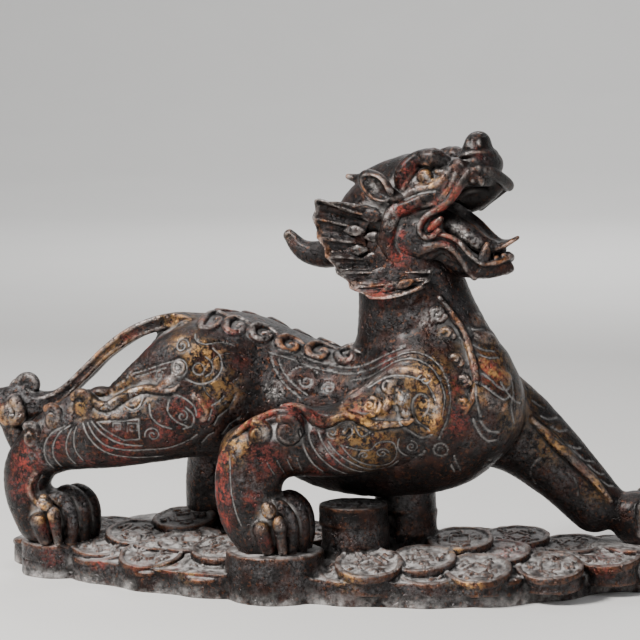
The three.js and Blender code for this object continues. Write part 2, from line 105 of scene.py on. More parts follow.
class Casting:
    def __init__(self, low, high, step):
        self.low = np.array(low, float)
        self.step = step
        self.shape = np.ceil((np.array(high) - self.low) / step).astype(int) + 1
        self.axes = [(self.low[i] + step * np.arange(self.shape[i])).astype(np.float32) for i in range(3)]
        self.value = np.full(self.shape, sculpting["farAway"], np.float32)
        self.raised = np.zeros(self.shape, np.float32)
        self.groove = np.zeros(self.shape, np.float32)
        self.skinLimit = 99  # marks stay on metal further out from the middle than minus this

    def window(self, low, high):
        first = np.clip(np.floor((np.asarray(low) - self.low) / self.step).astype(int), 0, self.shape)
        last = np.clip(np.ceil((np.asarray(high) - self.low) / self.step).astype(int) + 1, 0, self.shape)
        if (last <= first).any():
            return None
        cut = tuple(slice(a, b) for a, b in zip(first, last))
        x, y, z = (axis[part] for axis, part in zip(self.axes, cut))
        return cut, x[:, None, None], y[None, :, None], z[None, None, :]

    def limbDistance(self, part, reach):
        line, half, across = part["line"], part["half"], part["across"]
        widest = half.max(axis=1)[:, None]
        lowest = (line - widest).min(axis=0) - reach
        highest = (line + widest).max(axis=0) + reach
        found = self.window(lowest, highest)
        if found is None:
            return None
        cut = found[0]
        near = np.full([s.stop - s.start for s in cut], sculpting["farAway"], np.float32)
        for i in range(len(line) - 1):
            a, b, ha, hb = line[i], line[i + 1], half[i], half[i + 1]
            along = b - a
            length = max(float(np.linalg.norm(along)), 1e-4)
            along = along / length
            side = across - along * (across @ along)
            side /= max(float(np.linalg.norm(side)), 1e-4)
            up = np.cross(side, along)
            cap = float(min(ha.min(), hb.min()))
            atEnd = cap if i in (0, len(line) - 2) else min(cap, sculpting["overrun"])
            spread = np.abs(side) * max(ha[0], hb[0]) + np.abs(up) * max(ha[1], hb[1])
            spread = spread + np.abs(along) * atEnd + reach
            inner = self.window(np.maximum(np.minimum(a, b) - spread, lowest),
                                np.minimum(np.maximum(a, b) + spread, highest))
            if inner is None:
                continue
            small, x, y, z = inner
            px, py, pz = x - a[0], y - a[1], z - a[2]
            w = px * along[0] + py * along[1] + pz * along[2]
            u = px * side[0] + py * side[1] + pz * side[2]
            v = px * up[0] + py * up[1] + pz * up[2]
            t = np.clip(w / length, 0, 1)
            w -= t * length
            ra = ha[0] + (hb[0] - ha[0]) * t
            rb = ha[1] + (hb[1] - ha[1]) * t
            u /= ra
            v /= rb
            w /= cap
            k0 = np.sqrt(u * u + v * v + w * w + 1e-6)
            u /= ra
            v /= rb
            w /= cap
            k1 = np.sqrt(u * u + v * v + w * w + 1e-6 / (ra * rb))
            here = tuple(slice(s.start - c.start, s.stop - c.start) for s, c in zip(small, cut))
            near[here] = np.minimum(near[here], k0 * (k0 - 1) / k1)
        return cut, near

    def ballDistance(self, part, reach):
        axes, radii, centre = part["axes"], part["radii"], part["centre"]
        spread = np.abs(axes) @ radii + reach
        found = self.window(centre - spread, centre + spread)
        if found is None:
            return None
        cut, x, y, z = found
        px, py, pz = x - centre[0], y - centre[1], z - centre[2]
        k0 = k1 = 1e-6
        for i in range(3):
            q = (px * axes[0, i] + py * axes[1, i] + pz * axes[2, i]) / radii[i]
            k0 = k0 + q * q
            k1 = k1 + (q / radii[i]) ** 2
        k0 = np.sqrt(k0)
        return cut, (k0 * (k0 - 1) / np.sqrt(k1)).astype(np.float32)

    def distance(self, part, reach):
        return self.limbDistance(part, reach) if "line" in part else self.ballDistance(part, reach)

    def merge(self, cut, near, blend):
        here = self.value[cut]
        soft = np.maximum(blend - np.abs(here - near), 0) / max(blend, 1e-3)
        self.value[cut] = np.minimum(here, near) - soft * soft * blend * 0.25

    def add(self, part, blend=1.5):
        found = self.distance(part, blend + sculpting["margin"])
        if found:
            self.merge(*found, blend)

    def addShape(self, low, high, shape, blend=1.0):
        # Adds what a function of x, y and z gives the distance to
        found = self.window(low, high)
        if found:
            cut, x, y, z = found
            near = np.broadcast_to(shape(x, y, z), self.value[cut].shape).astype(np.float32)
            self.merge(cut, near, blend)

    def carve(self, part, blend=1.0):
        found = self.distance(part, blend + sculpting["margin"])
        if found:
            cut, near = found
            here = self.value[cut]
            soft = np.maximum(blend - np.abs(here + near), 0) / max(blend, 1e-3)
            self.value[cut] = np.maximum(here, -near) + soft * soft * blend * 0.25

    def roughen(self, size, amount, seed):
        # Small swellings of the cast skin: random heights on a coarse grid, eased in between
        rng = np.random.default_rng(seed)
        cells = np.ceil(self.shape * self.step / size).astype(int) + 2
        layer = rng.uniform(-amount, amount, cells).astype(np.float32)
        for axis in range(3):
            place = np.arange(self.shape[axis]) * self.step / size
            index = place.astype(int)
            part = place - index
            line = [-1 if i == axis else 1 for i in range(3)]
            weight = np.float32(part * part * (3 - 2 * part)).reshape(line)
            layer = np.take(layer, index, axis) * (1 - weight) + np.take(layer, index + 1, axis) * weight
        self.value += layer

    def measureSkin(self):
        # For each x and z, where the metal starts as seen from the right (y low) and from the left
        solid = self.value < 0
        count = self.shape[1]
        self.skin = {}
        for side, flip in (("right", False), ("left", True)):
            first = (solid[:, ::-1] if flip else solid).argmax(axis=1)
            index = count - 1 - first if flip else first
            before = np.clip(index + (1 if flip else -1), 0, count - 1)
            inside = np.take_along_axis(self.value, index[:, None], 1)[:, 0]
            outside = np.take_along_axis(self.value, before[:, None], 1)[:, 0]
            share = np.clip(outside / np.maximum(outside - inside, 1e-3), 0, 1)
            y = self.axes[1][before] + (self.axes[1][index] - self.axes[1][before]) * share
            self.skin[side] = np.where(solid.any(axis=1), y, np.nan)

    def onSkin(self, flat, side):
        # Lays points of [x, z] on the skin and eases their depth
        flat = np.asarray(flat, float)
        i = np.clip(np.round((flat[:, 0] - self.low[0]) / self.step).astype(int), 0, self.shape[0] - 1)
        k = np.clip(np.round((flat[:, 1] - self.low[2]) / self.step).astype(int), 0, self.shape[2] - 1)
        y = self.skin[side][i, k]
        keep = ~np.isnan(y)
        keep &= (y if side == "right" else -y) < self.skinLimit
        flat, y = flat[keep], y[keep]
        if len(y) > 4:
            padded = np.concatenate([[y[0]], y, [y[-1]]])
            y = (padded[:-2] + padded[1:-1] + padded[2:]) / 3
        return np.column_stack([flat[:, 0], y, flat[:, 1]])

    def mark(self, points, half, height):
        # A raised line where height is above 0, and a groove where it is below
        layer = self.raised if height > 0 else self.groove
        for a, b in zip(points[:-1], points[1:]):
            along = b - a
            length = float(np.linalg.norm(along))
            if length < 1e-4 or length > sculpting["longestStroke"]:
                continue
            found = self.window(np.minimum(a, b) - half, np.maximum(a, b) + half)
            if found is None:
                continue
            cut, x, y, z = found
            px, py, pz = x - a[0], y - a[1], z - a[2]
            t = np.clip((px * along[0] + py * along[1] + pz * along[2]) / length ** 2, 0, 1)
            gap = (px - t * along[0]) ** 2 + (py - t * along[1]) ** 2 + (pz - t * along[2]) ** 2
            lift = abs(height) * np.maximum(1 - gap / half ** 2, 0) ** 1.5
            layer[cut] = np.maximum(layer[cut], lift)

    def cast(self, name, triangles):
        # Turns the block into a mesh object in metres, with what the finish needs at each point
        value = self.value - self.raised + self.groove
        np.clip(value, -sculpting["band"], sculpting["band"], out=value)
        grid = openvdb.FloatGrid(sculpting["band"])
        grid.copyFromArray(value)
        points, _, quads = grid.convertToPolygons(isovalue=0.0, adaptivity=0.0)
        places = (points * self.step + self.low) * 0.001
        rough = bpy.data.meshes.new(name + "_rough")
        rough.vertices.add(len(points))
        rough.vertices.foreach_set("co", places.astype(np.float32).ravel())
        rough.loops.add(quads.size)
        rough.loops.foreach_set("vertex_index", quads.astype(np.int32).ravel())
        rough.polygons.add(len(quads))
        rough.polygons.foreach_set("loop_start", np.arange(0, quads.size, 4, dtype=np.int32))
        rough.update(calc_edges=True)
        rough.validate()
        holder = bpy.data.objects.new(name + "_rough", rough)
        bpy.context.collection.objects.link(holder)
        share = triangles / (2 * len(quads))
        if share < 1:
            thin = holder.modifiers.new("thin", "DECIMATE")
            thin.ratio = share
            thin.use_collapse_triangulate = True
        deps = bpy.context.evaluated_depsgraph_get()
        mesh = bpy.data.meshes.new_from_object(holder.evaluated_get(deps))
        bpy.data.objects.remove(holder)
        bpy.data.meshes.remove(rough)
        mesh.validate()  # the thinning leaves a few doubled faces
        mesh.name = name
        mesh.polygons.foreach_set("use_smooth", np.ones(len(mesh.polygons), bool))
        self.addMasks(mesh, value)
        piece = bpy.data.objects.new(name, mesh)
        bpy.context.collection.objects.link(piece)
        print(name, "has", len(mesh.polygons), "faces from", len(quads))
        return piece

    def sample(self, layer, places, step):
        index = (places - self.low) / step
        base = np.clip(np.floor(index).astype(int), 0, np.array(layer.shape) - 2)
        part = np.clip(index - base, 0, 1)
        total = 0
        for dx in (0, 1):
            for dy in (0, 1):
                for dz in (0, 1):
                    weight = (np.abs(1 - dx - part[:, 0]) * np.abs(1 - dy - part[:, 1])
                              * np.abs(1 - dz - part[:, 2]))
                    total = total + weight * layer[base[:, 0] + dx, base[:, 1] + dy, base[:, 2] + dz]
        return total

    def addMasks(self, mesh, value):
        places = np.empty(len(mesh.vertices) * 3, np.float32)
        mesh.vertices.foreach_get("co", places)
        places = places.reshape(-1, 3).astype(float) * 1000
        coarse = value[::2, ::2, ::2]
        own = self.sample(coarse, places, self.step * 2)
        fine = self.sample(blurred(coarse, 1), places, self.step * 2) - own
        wide = self.sample(blurred(coarse, 4), places, self.step * 2) - own
        raised = self.sample(self.raised, places, self.step)
        groove = self.sample(self.groove, places, self.step)
        masks = {
            "edge": np.clip(fine * sculpting["edgeGain"], -1, 1),  # above 0 on ridges, below 0 in creases
            "hollow": np.clip(-wide * sculpting["hollowGain"], -1, 1),  # above 0 in broad hollows
            "raisedLine": np.clip(raised * sculpting["raisedGain"], 0, 1),
            "grooveLine": np.clip(groove * sculpting["grooveGain"] - sculpting["grooveFrom"], 0, 1),
        }
        for key, data in masks.items():
            layer = mesh.attributes.new(key, "FLOAT", "POINT")
            layer.data.foreach_set("value", data.astype(np.float32))


def blurred(layer, radius):
    # The mean over a cube around each sample
    width = 2 * radius + 1
    for axis in range(3):
        padded = np.moveaxis(layer, axis, 0)
        padded = np.concatenate([padded[:1]] * (radius + 1) + [padded] + [padded[-1:]] * radius)
        total = np.cumsum(padded, axis=0, dtype=np.float64)
        layer = np.moveaxis(((total[width:] - total[:-width]) / width).astype(np.float32), 0, axis)
    return layer


def curve2d(points, spacing=0.8):
    rows = smoothStations([[x, z, 0] for x, z in points], spacing)
    return rows[:, :2]


def spiral2d(centre, radius, turns=1.5, start=0, way=1, squash=1.0, lean=0, inner=0.15):
    # A flat spiral that winds inwards, squashed in height and then leaned over, in degrees
    count = max(10, int(turns * 20))
    f = np.linspace(0, 1, count)
    angle = np.radians(start + way * turns * 360 * f)
    reach = radius * (1 + (inner - 1) * f)
    u, v = reach * np.cos(angle), reach * np.sin(angle) * squash
    tilt = math.radians(lean)
    return np.column_stack([centre[0] + u * math.cos(tilt) - v * math.sin(tilt),
                            centre[1] + u * math.sin(tilt) + v * math.cos(tilt)])


def arc2d(centre, radius, start, end, squash=1.0):
    angle = np.radians(np.linspace(start, end, max(6, int(abs(end - start) * radius / 50))))
    return np.column_stack([centre[0] + radius * np.cos(angle), centre[1] + radius * np.sin(angle) * squash])


step = sculpting["step"]
limbStep = sculpting["limbStep"]

beastBody = {
    "torso": [[-57, 3, 76, 13, 11], [-49, 3, 75, 19, 18], [-34, 3, 71.5, 23, 25.5], [-12, 1, 65.4, 20, 24.4],
              [9, -1, 59, 20, 26], [28, -3, 60.5, 23, 28], [44, -4, 65.5, 24, 29], [54, -4.5, 68, 21, 24]],
    "neck": [[40, -4, 80, 18, 27], [36.5, -3.5, 97, 16.5, 21.5], [33.5, -3, 110, 15.5, 18.5],
             [29, -1, 121, 14, 15]],
    "rightShoulder": ([41, -18, 73], [18, 12, 18.5]),
    "leftShoulder": ([47, 11, 70], [17, 12, 19]),
    "rightHip": ([-40, -12, 71], [21, 14, 22]),
    "leftHip": ([-42, 15, 70], [20, 14, 22]),
    "rightThigh": [[-38, -13, 64, 12, 17], [-56, -16, 58.5, 12.5, 14.5],
                   [-76, -17.5, 54.5, 11.5, 13.5], [-93, -17, 50, 9.5, 10.5]],
    "rightShank": [[-97, -16.5, 49, 9, 9.5], [-105, -15.5, 41, 8.5, 9.5],
                   [-107, -15, 31, 8, 8.2], [-103, -14.5, 20, 8, 8]],
    "hipFlame": [[-42, -12, 80, 12, 12], [-52, -13, 78.5, 9, 10.5], [-60, -15, 75.8, 6, 6.6],
                 [-70, -18.5, 71, 3.5, 2.4]],
    "rightUpperArm": [[38, -18, 66, 10.5, 18], [16, -27, 56.5, 11, 13],
                      [-4, -30.5, 55, 10, 12], [-17, -32.5, 51, 9, 10.5]],
    "rightForearm": [[-15.5, -33, 51, 9, 12.5], [-17.5, -34, 41, 9, 12],
                     [-17, -34, 30, 9, 11], [-14, -33.5, 22, 8.5, 9]],
    "leftHindLeg": [[-42, 16, 60, 13, 17], [-44, 21, 45, 10.5, 12],
                    [-48, 23.5, 32, 8.5, 9.5], [-49, 24, 21, 8, 8.5]],
    "leftForeLeg": [[55, 11, 63, 13, 20], [70, 17, 54, 12, 15.5],
                    [84, 20, 42, 10.5, 12.5], [98, 21, 28, 9.5, 10.5]],
    "paws": {"rightHind": {"x": -93, "y": -14, "floor": 12, "out": -1},
             "rightFore": {"x": -3.6, "y": -34, "floor": 16.5, "out": -1, "ahead": (2.3, 4.5, 4.8)},
             "leftHind": {"x": -32, "y": 24, "floor": 13.5, "out": 1},
             "leftFore": {"x": 118, "y": 21, "floor": 15, "out": 1, "size": 0.95}},
    "grooveHalf": 0.5,  # mm, half the width of an engraved line
    "grooveDepth": 0.62,
    "ridgeHalf": 0.9,
    "overlap": 0.25,  # how far a leg's own hip or shoulder stands over the body's
}


def addPaw(casting, x, y, floor, out, size=1.0, ahead=(3.8, 6.6, 8.2)):
    # A clenched paw: a low outer toe with two round knuckles, then three tall arched ones side by side
    def at(dx, dy, dz):
        return [x + dx * size, y + dy * size, floor + dz * size]

    casting.add(ball(at(-6, -out, 9.5), [10 * size, 8.5 * size, 10.5 * size]), 3)
    casting.add(ball(at(-1, -out * 3, 7.5), [7.5 * size, 7 * size, 9 * size]), 2)
    side = out * 9
    casting.add(tube([at(-6.7, side, 9.4), at(-5, side * 0.8, 3)], 3.1 * size, 2.8 * size), 1.5)
    casting.add(ball(at(-4.3, side, 16.4), [2.7 * size, 2.7 * size, 3.3 * size], 0, 20), 0.4)
    casting.add(ball(at(-0.6, side, 11), [2.5 * size, 2.6 * size, 3.9 * size], 0, 12), 0.4)
    casting.add(tube([at(-0.2, side, 8), at(0.4, side * 0.9, 2)], 2.0 * size, 1.7 * size), 0.8)
    # how far forward, how high, half width, half thickness and length along the floor of each arched toe
    toes = zip(ahead, (18.6, 20, 19.6), (2.8, 3.1, 3.2), (3.0, 3.3, 3.4), (10, 11, 11))
    for i, (front, top, wide, thick, span) in enumerate(toes, 1):
        side = out * (9 - 5.7 * i)
        toe = [[*at(front - span, side, 5.5), wide * 0.9, thick * 0.8],
               [*at(front - span + 0.6, side, top - 5), wide, thick * 0.9],
               [*at(front - span * 0.55, side, top - thick * 0.6), wide, thick],
               [*at(front - 1.6, side, top - 5), wide, thick],
               [*at(front, side, 7), wide, thick * 0.95],
               [*at(front - 0.5, side, 1.2), wide * 0.85, thick * 0.8]]
        casting.add(limb([[*row[:3], row[3] * size, row[4] * size] for row in toe], spacing=1.5), 0.5)
        for rise in (0.42, 0.68):  # creases over the knuckle
            angle = math.radians(180 * rise)
            crease = [at(front - span * 0.5 + (span * 0.5 + thick * r) * math.cos(angle),
                         side + out * (wide * 0.9 - r * 0.4),
                         top - 6 + (5 + thick * r) * math.sin(angle)) for r in (-0.6, 0, 0.6, 1.0)]
            casting.mark(np.array(crease), 0.5, -0.4)


def makeBody():
    body = Casting((-133, -48.5, 8), (131, 48.5, 134), step)
    body.add(limb(beastBody["torso"], spacing=4), 2)
    body.add(limb(beastBody["neck"], spacing=4), 6)
    for name in ("rightShoulder", "leftShoulder", "rightHip", "leftHip"):
        body.add(ball(*beastBody[name]), 5)
    body.add(limb(beastBody["hipFlame"]), 4)
    for name in ("leftHindLeg", "leftForeLeg"):
        body.add(limb(beastBody[name]), 5)
    for name in ("leftHind", "leftFore"):
        addPaw(body, **beastBody["paws"][name])
    addTail(body)
    for x, z, radius in ((-43, 52, 4.2), (-46, 43, 3.6)):
        addCurl(body, [x, 31.5, z], radius, 90, squat=1.3)
    body.measureSkin()
    addChest(body)
    addSpine(body)
    for side in ("right", "left"):
        addBoss(body, side)
    # the ridges of hip and shoulder, which on the right are part of the two near legs
    skinBar(body, [(-61, 63), (-57.4, 68), (-52, 70.6), (-46.4, 71), (-43.4, 73.6)],
            [0.6, 1.5, 1.7, 1.4, 0.7], 0.2, "left")
    skinBar(body, [(15, 66.4), (20, 67.6), (25, 65.2), (30, 63.6), (37, 63.2), (42, 65)],
            [0.6, 1.3, 1.7, 1.5, 1.3, 0.7], 0.2, "left")
    crest = [(76, 60.6), (84, 52.2), (91, 45), (98, 38), (104, 31)]
    skinBar(body, crest, [1.0, 2.1, 2.0, 1.8, 0.7], 0.1)
    skinBar(body, crest, [0.8, 1.8, 1.8, 1.6, 1.4, 0.7], 0.1, "left")
    body.roughen(4.5, 0.14, 1)
    body.measureSkin()
    for side in ("right", "left"):
        body.skinLimit = -8
        engraveThigh(body, side)
        engraveShoulder(body, side)
        body.skinLimit = 99
        engraveFlank(body, side)
    engraveChest(body)
    engraveLeft(body)
    return body


def makeHindLeg():
    leg = Casting((-122, -34, 8), (-14, 8, 98), limbStep)
    over = beastBody["overlap"]
    centre, radii = beastBody["rightHip"]
    leg.add(ball(centre, [r + over for r in radii]), 2)
    leg.add(limb([[*row[:3], row[3] + over, row[4] + over] for row in beastBody["hipFlame"]]), 4)
    leg.add(limb(beastBody["rightThigh"]), 5)
    leg.add(limb(beastBody["rightShank"]), 4)
    addPaw(leg, **beastBody["paws"]["rightHind"])
    leg.add(limb([[-72, -17, 62, 8, 6], [-82, -17, 62.5, 8, 7], [-92, -16.5, 56.5, 8, 7.5],
                  [-100, -16, 50, 7.5, 8]]), 3)
    leg.add(ball([-75.8, -21, 69.2], [4.6, 3, 2.2]), 1)
    leg.measureSkin()
    for x, z, radius, start, squat in ((-81.6, 64.6, 4.1, 140, 1.35), (-93.2, 59.5, 3.6, 130, 1.4),
                                       (-101.4, 52.6, 3.6, 120, 1.35)):
        skinCurl(leg, x, z, radius, start, squat=squat)
    ridge = [(-79.4, 68.8), (-78.8, 68.2), (-75.8, 65.5), (-71.7, 64.9), (-67.1, 67.5), (-62.5, 70),
             (-58, 71.3), (-53.4, 71), (-47.2, 71.4), (-45.2, 73.2)]
    skinBar(leg, ridge, [0.6, 1.4, 2.0, 2.2, 2.0, 1.7, 1.4, 1.3, 0.7], 0.2)
    leg.roughen(4.0, 0.12, 2)
    leg.measureSkin()
    engraveThigh(leg)
    engraveFlank(leg)
    return leg


def makeForeLeg():
    leg = Casting((-34, -48, 12), (62, 0, 92), limbStep)
    centre, radii = beastBody["rightShoulder"]
    leg.add(ball(centre, [r + beastBody["overlap"] for r in radii]), 2)
    leg.add(limb(beastBody["rightUpperArm"]), 3)
    leg.add(limb(beastBody["rightForearm"]), 3)
    addPaw(leg, **beastBody["paws"]["rightFore"])
    addCurl(leg, [-1.8, -40, 60.6], 4.9, 115, squat=1.1)
    addCurl(leg, [-12.4, -39.4, 58.8], 4.2, 105, squat=1.1)
    addCurl(leg, [-20, -39, 51.6], 3.7, 100, squat=1.2)
    roof = [[-27.6, -35.6, 32], [-27.6, -36.6, 41], [-26, -38.2, 48.5], [-22.5, -38.6, 56],
            [-17.5, -38.6, 61.4], [-11.6, -39, 64.8], [-5.4, -39.4, 67.2], [-0.6, -39.6, 67],
            [2.6, -39.6, 64.4], [3.6, -39.4, 60.4]]
    leg.add(tube(roof, [0.9, 1.2, 1.4, 1.4, 1.3, 1.2, 1.2, 1.2, 1.0, 0.6]), 0.6)
    ridge = [[-4.6, -38.6, 69], [-0.5, -38.8, 69.2], [3.4, -38.6, 68], [7.4, -38.2, 64.8],
             [11.6, -37.6, 63.8], [15.7, -37, 65.4], [19.5, -36, 66], [23.4, -35.2, 64.4],
             [27.2, -34.4, 62.8], [32, -33.2, 62.9], [37.8, -31, 63.4], [41, -30.6, 65]]
    leg.add(tube(ridge, [0.5, 1.1, 1.7, 2.2, 2.0, 1.6, 1.6, 1.7, 1.6, 1.3, 1.1, 0.6]), 0.8)
    leg.measureSkin()
    addBoss(leg)
    leg.roughen(4.0, 0.12, 3)
    leg.measureSkin()
    leg.skinLimit = -12
    engraveShoulder(leg)
    engraveArm(leg)
    return leg


def skinBar(casting, flat, thick, proud=0.0, side="right", blend=0.7, squash=1.0):
    # A bar laid along points of [x, z] on the skin and standing proud of it
    rows = casting.onSkin(curve2d(flat, 1.2), side)
    rows[:, 1] += proud if side == "left" else -proud
    half = np.interp(np.linspace(0, 1, len(rows)), np.linspace(0, 1, len(thick)), thick)
    casting.add(tube(rows, list(half), flat=squash), blend)


def skinCurl(casting, x, z, radius, start=90, side="right", **shape):
    for place in casting.onSkin([(x, z)], side):
        addCurl(casting, place, radius, start, **shape)


def addCurl(casting, centre, radius, start=90, way=-1, squat=1.0, bar=None):
    # A full comma-shaped lock: a dome with a thick bar wound round it
    bar = bar or radius * 0.5
    x, y, z = centre
    out = -1 if y < 0 else 1
    casting.add(ball([x, y - out * 0.3, z], [radius * 0.85, bar * 1.1, radius * 0.85 * squat]), 0.8)
    f = np.linspace(0, 1, 14)
    angle = np.radians(start + way * f * 1.15 * 360)
    reach = radius * 0.88 * (1 - 0.78 * f)
    rows = [[x + r * math.cos(a), y + out * 0.8 * g, z + r * math.sin(a) * squat, h, h]
            for r, a, g, h in zip(reach, angle, f, bar * (1 - 0.4 * f))]
    casting.add(limb(rows, spacing=1.0), 0.25)


def addTail(body):
    strap = [[-36, 2, 88, 7, 4], [-46, 1.6, 92.2, 5.6, 3.4], [-54, 0, 93.8, 4.6, 2.8],
             [-66, -2, 90.5, 4.4, 2.7], [-77, -3.5, 83.5, 4.3, 2.7], [-87, -4.5, 74, 4.3, 2.7],
             [-97, -5.5, 65, 4.6, 3], [-110, -6, 60, 6, 4]]
    body.add(limb(strap), 3)
    for rise in (-2.1, 2.1):  # raised edges with a channel between them
        edge = [[x, y - wide + 0.6, z + rise * 0.9] for x, y, z, wide, _ in strap[1:]]
        body.add(tube(edge, [0.6, 0.9, 0.95, 0.95, 0.95, 0.9, 0.4]), 0.8)
    body.add(limb([[-103, -6, 61, 6, 4.5], [-112, -6, 61, 7.5, 7.5], [-120, -5, 60.5, 6.5, 7],
                   [-127, -4, 62, 4, 4.5]]), 3)
    body.add(limb([[-112, -6, 62, 4, 4], [-111.5, -6, 67, 3.6, 3.6]]), 2)
    body.add(tube([[-116, -7, 58], [-113, -11, 52], [-110, -13, 46]], 4.8, 3.4), 3)
    for place, radius, start, way in (([-108.6, -7, 68.6], 4.6, 205, -1), ([-114, -13, 59.2], 5.2, 60, -1),
                                      ([-125.4, -7, 64.4], 3.4, 330, -1), ([-124.6, -9, 56.4], 3.4, 100, 1),
                                      ([-115, 1.4, 66], 3.8, 200, -1), ([-117, 2.4, 56], 4.2, 60, -1)):
        addCurl(body, place, radius, start, way)


def addChest(body):
    # The edging of the breast plates, with a row of curls behind it
    edging = [(47, 105.5), (48.7, 103), (51.5, 99), (54.4, 95), (56.6, 90.5), (58.6, 85.5), (60.2, 81),
              (60.6, 76.4), (60, 71.7), (57.8, 67)]
    skinBar(body, edging, [0.8, 1.3, 1.4, 1.4, 1.3, 0.8], 0.2)
    skinBar(body, [(x - 1.5, z) for x, z in edging], [0.8, 1.3, 1.3, 0.8], 0.2, "left")
    for x, z, radius in ((46.4, 100.2, 3.1), (50, 93.4, 2.9), (53.8, 85, 2.8), (57, 78, 2.5),
                         (57.2, 70.3, 2.3)):
        skinCurl(body, x, z, radius, -20, bar=radius * 0.36)
        skinCurl(body, x - 1.5, z, radius, -20, "left", bar=radius * 0.36)


def addSpine(body):
    # A row of comma-shaped curls along each side of the spine
    comma = [(0.8, 0.4), (2.1, 0.8), (3.2, 0), (2.6, -1.3), (0.4, -1.9), (-2.3, -1.3), (-3.7, 0.3),
             (-2.6, 1.8), (0.4, 2.2), (3.8, 1.8), (6.8, 1.0)]
    for x, z, lean in ((-38, 94.2, -2), (-29, 92.8, -10), (-19.6, 90.4, -18), (-9.5, 86.6, -16),
                       (1, 84.4, -9), (12, 83.6, 5)):
        c, s = math.cos(math.radians(lean)), math.sin(math.radians(lean))
        flat = [(x + u * c - v * s, z + u * s + v * c) for u, v in comma]
        for side in ("right", "left"):
            skinBar(body, flat, [0.9, 1.3, 1.3, 1.4, 1.6, 1.8, 1.7, 1.4, 1.1, 0.8, 0.4], 0.2, side, 0.4, 0.8)


def addBoss(casting, side="right"):
    # The round boss in the leaf of the shoulder, and the blade beside it
    for place in casting.onSkin([(46.4, 67.2)], side):
        place[1] += 2.4 if side == "right" else -2.4
        casting.add(ball(place, [5.2, 4.4, 6.2]), 1.2)
    skinBar(casting, [(33.2, 79), (34.8, 74.6), (36.6, 70.2), (38.2, 66.4)], [0.5, 1.2, 1.9, 2.2],
            -0.6, side, 0.8)


def tools(casting, side="right"):
    # Engraved lines that lie in shallow channels, and raised lines, for one side of a casting;
    # a list of points is eased into a curve, and a ready shape is drawn as it is
    half, depth = beastBody["grooveHalf"], beastBody["grooveDepth"]

    def lay(flat):
        return casting.onSkin(curve2d(flat) if isinstance(flat, list) else flat, side)

    def groove(wide, *lines):
        for points in map(lay, lines):
            casting.mark(points, half * 2.2 * wide, -depth * 0.35)
            casting.mark(points, half * wide, -depth)

    def ridge(wide, high, *lines):
        for points in map(lay, lines):
            casting.mark(points, beastBody["ridgeHalf"] * wide, high)

    return groove, ridge


def engraveThigh(casting, side="right"):
    # An eye and swirls above the ridge, and a framed meander inside nested curves below it
    groove, ridge = tools(casting, side)
    eye = (-45.5, 79.4)
    ridge(1.0, 0.8, arc2d(eye, 2.0, 0, 360))
    groove(1.0, arc2d(eye, 3.1, 0, 360),
           spiral2d((-53.4, 76.2), 1.9, 1.4, 30, 1), spiral2d((-71.8, 63.2), 2.3, 1.5, 180, -1),
           spiral2d((-67.6, 63.6), 1.6, 1.3, 0, 1), spiral2d((-54.4, 55.4), 3.0, 1.5, 200, -1),
           spiral2d((-43.8, 62.4), 2.2, 1.3, 90, -1),
           [(-64, 76.4), (-59, 77.9), (-50.5, 80.9), (-45.3, 82.3)],
           [(-63, 75.2), (-58.5, 76.6), (-54.3, 78.1), (-50.5, 79.2)],
           [(-66.5, 66), (-62.6, 64.2), (-60.2, 65.1), (-59.2, 67.9), (-59.9, 69.6)],
           [(-98.6, 38), (-100.6, 34), (-99.6, 30.6), (-96, 29.6)],
           straight2d([(-75.2, 59.6), (-70, 60), (-64.7, 60.3), (-59.5, 61.1), (-59.3, 53.7), (-64.8, 53.1),
                       (-69, 55.1), (-72.6, 57.2), (-75.2, 59.6)]))
    groove(0.85, meander2d((-61.9, 57.8), 3.6), meander2d((-67.6, 57.9), 2.9))
    groove(1.15, [(-77.5, 59.8), (-74.9, 57), (-71.3, 54.2), (-67.1, 52.1), (-62.7, 51.3), (-58.6, 51.2)],
           [(-79, 59.2), (-75.8, 54.2), (-71.8, 50.9), (-64.6, 49.4), (-57.3, 49.6), (-49.7, 50.4),
            (-42, 53.4), (-39, 55.6)],
           [(-80.9, 59.3), (-79, 55), (-76.2, 51.3), (-72, 48.2), (-63.2, 46.4), (-51.9, 46.9)])
    groove(1.1, [(-56.2, 66.3), (-55.1, 62.2), (-52, 59.2), (-47.6, 57.7)],
           [(-48.9, 68.1), (-49.1, 64), (-46.2, 60.6), (-42.2, 58.6)],
           [(-47.2, 70.4), (-42.2, 68.3), (-39.3, 65.6), (-38.7, 62.6)],
           [(-42.6, 65.6), (-39.8, 62.7), (-40.4, 59), (-43.8, 57.7)])
    groove(1.05, [(-83.3, 57.6), (-84.2, 53.4), (-83.8, 48.6), (-81.3, 44.2)],
           [(-85.1, 56.8), (-87, 52.3), (-87.2, 46.9), (-84.9, 42.8)],
           [(-85.9, 57.6), (-90.2, 54.7), (-92.4, 50.3), (-92.6, 46), (-90.7, 41.4)],
           [(-88.2, 57.3), (-93.3, 54.4), (-95.9, 49.7), (-95.7, 44.7), (-93.3, 40.2)])
    ridge(1.7, 1.0, [(-100.7, 38.7), (-103.3, 34.6), (-103.1, 31.1), (-101, 28.3), (-97.4, 27.3)])


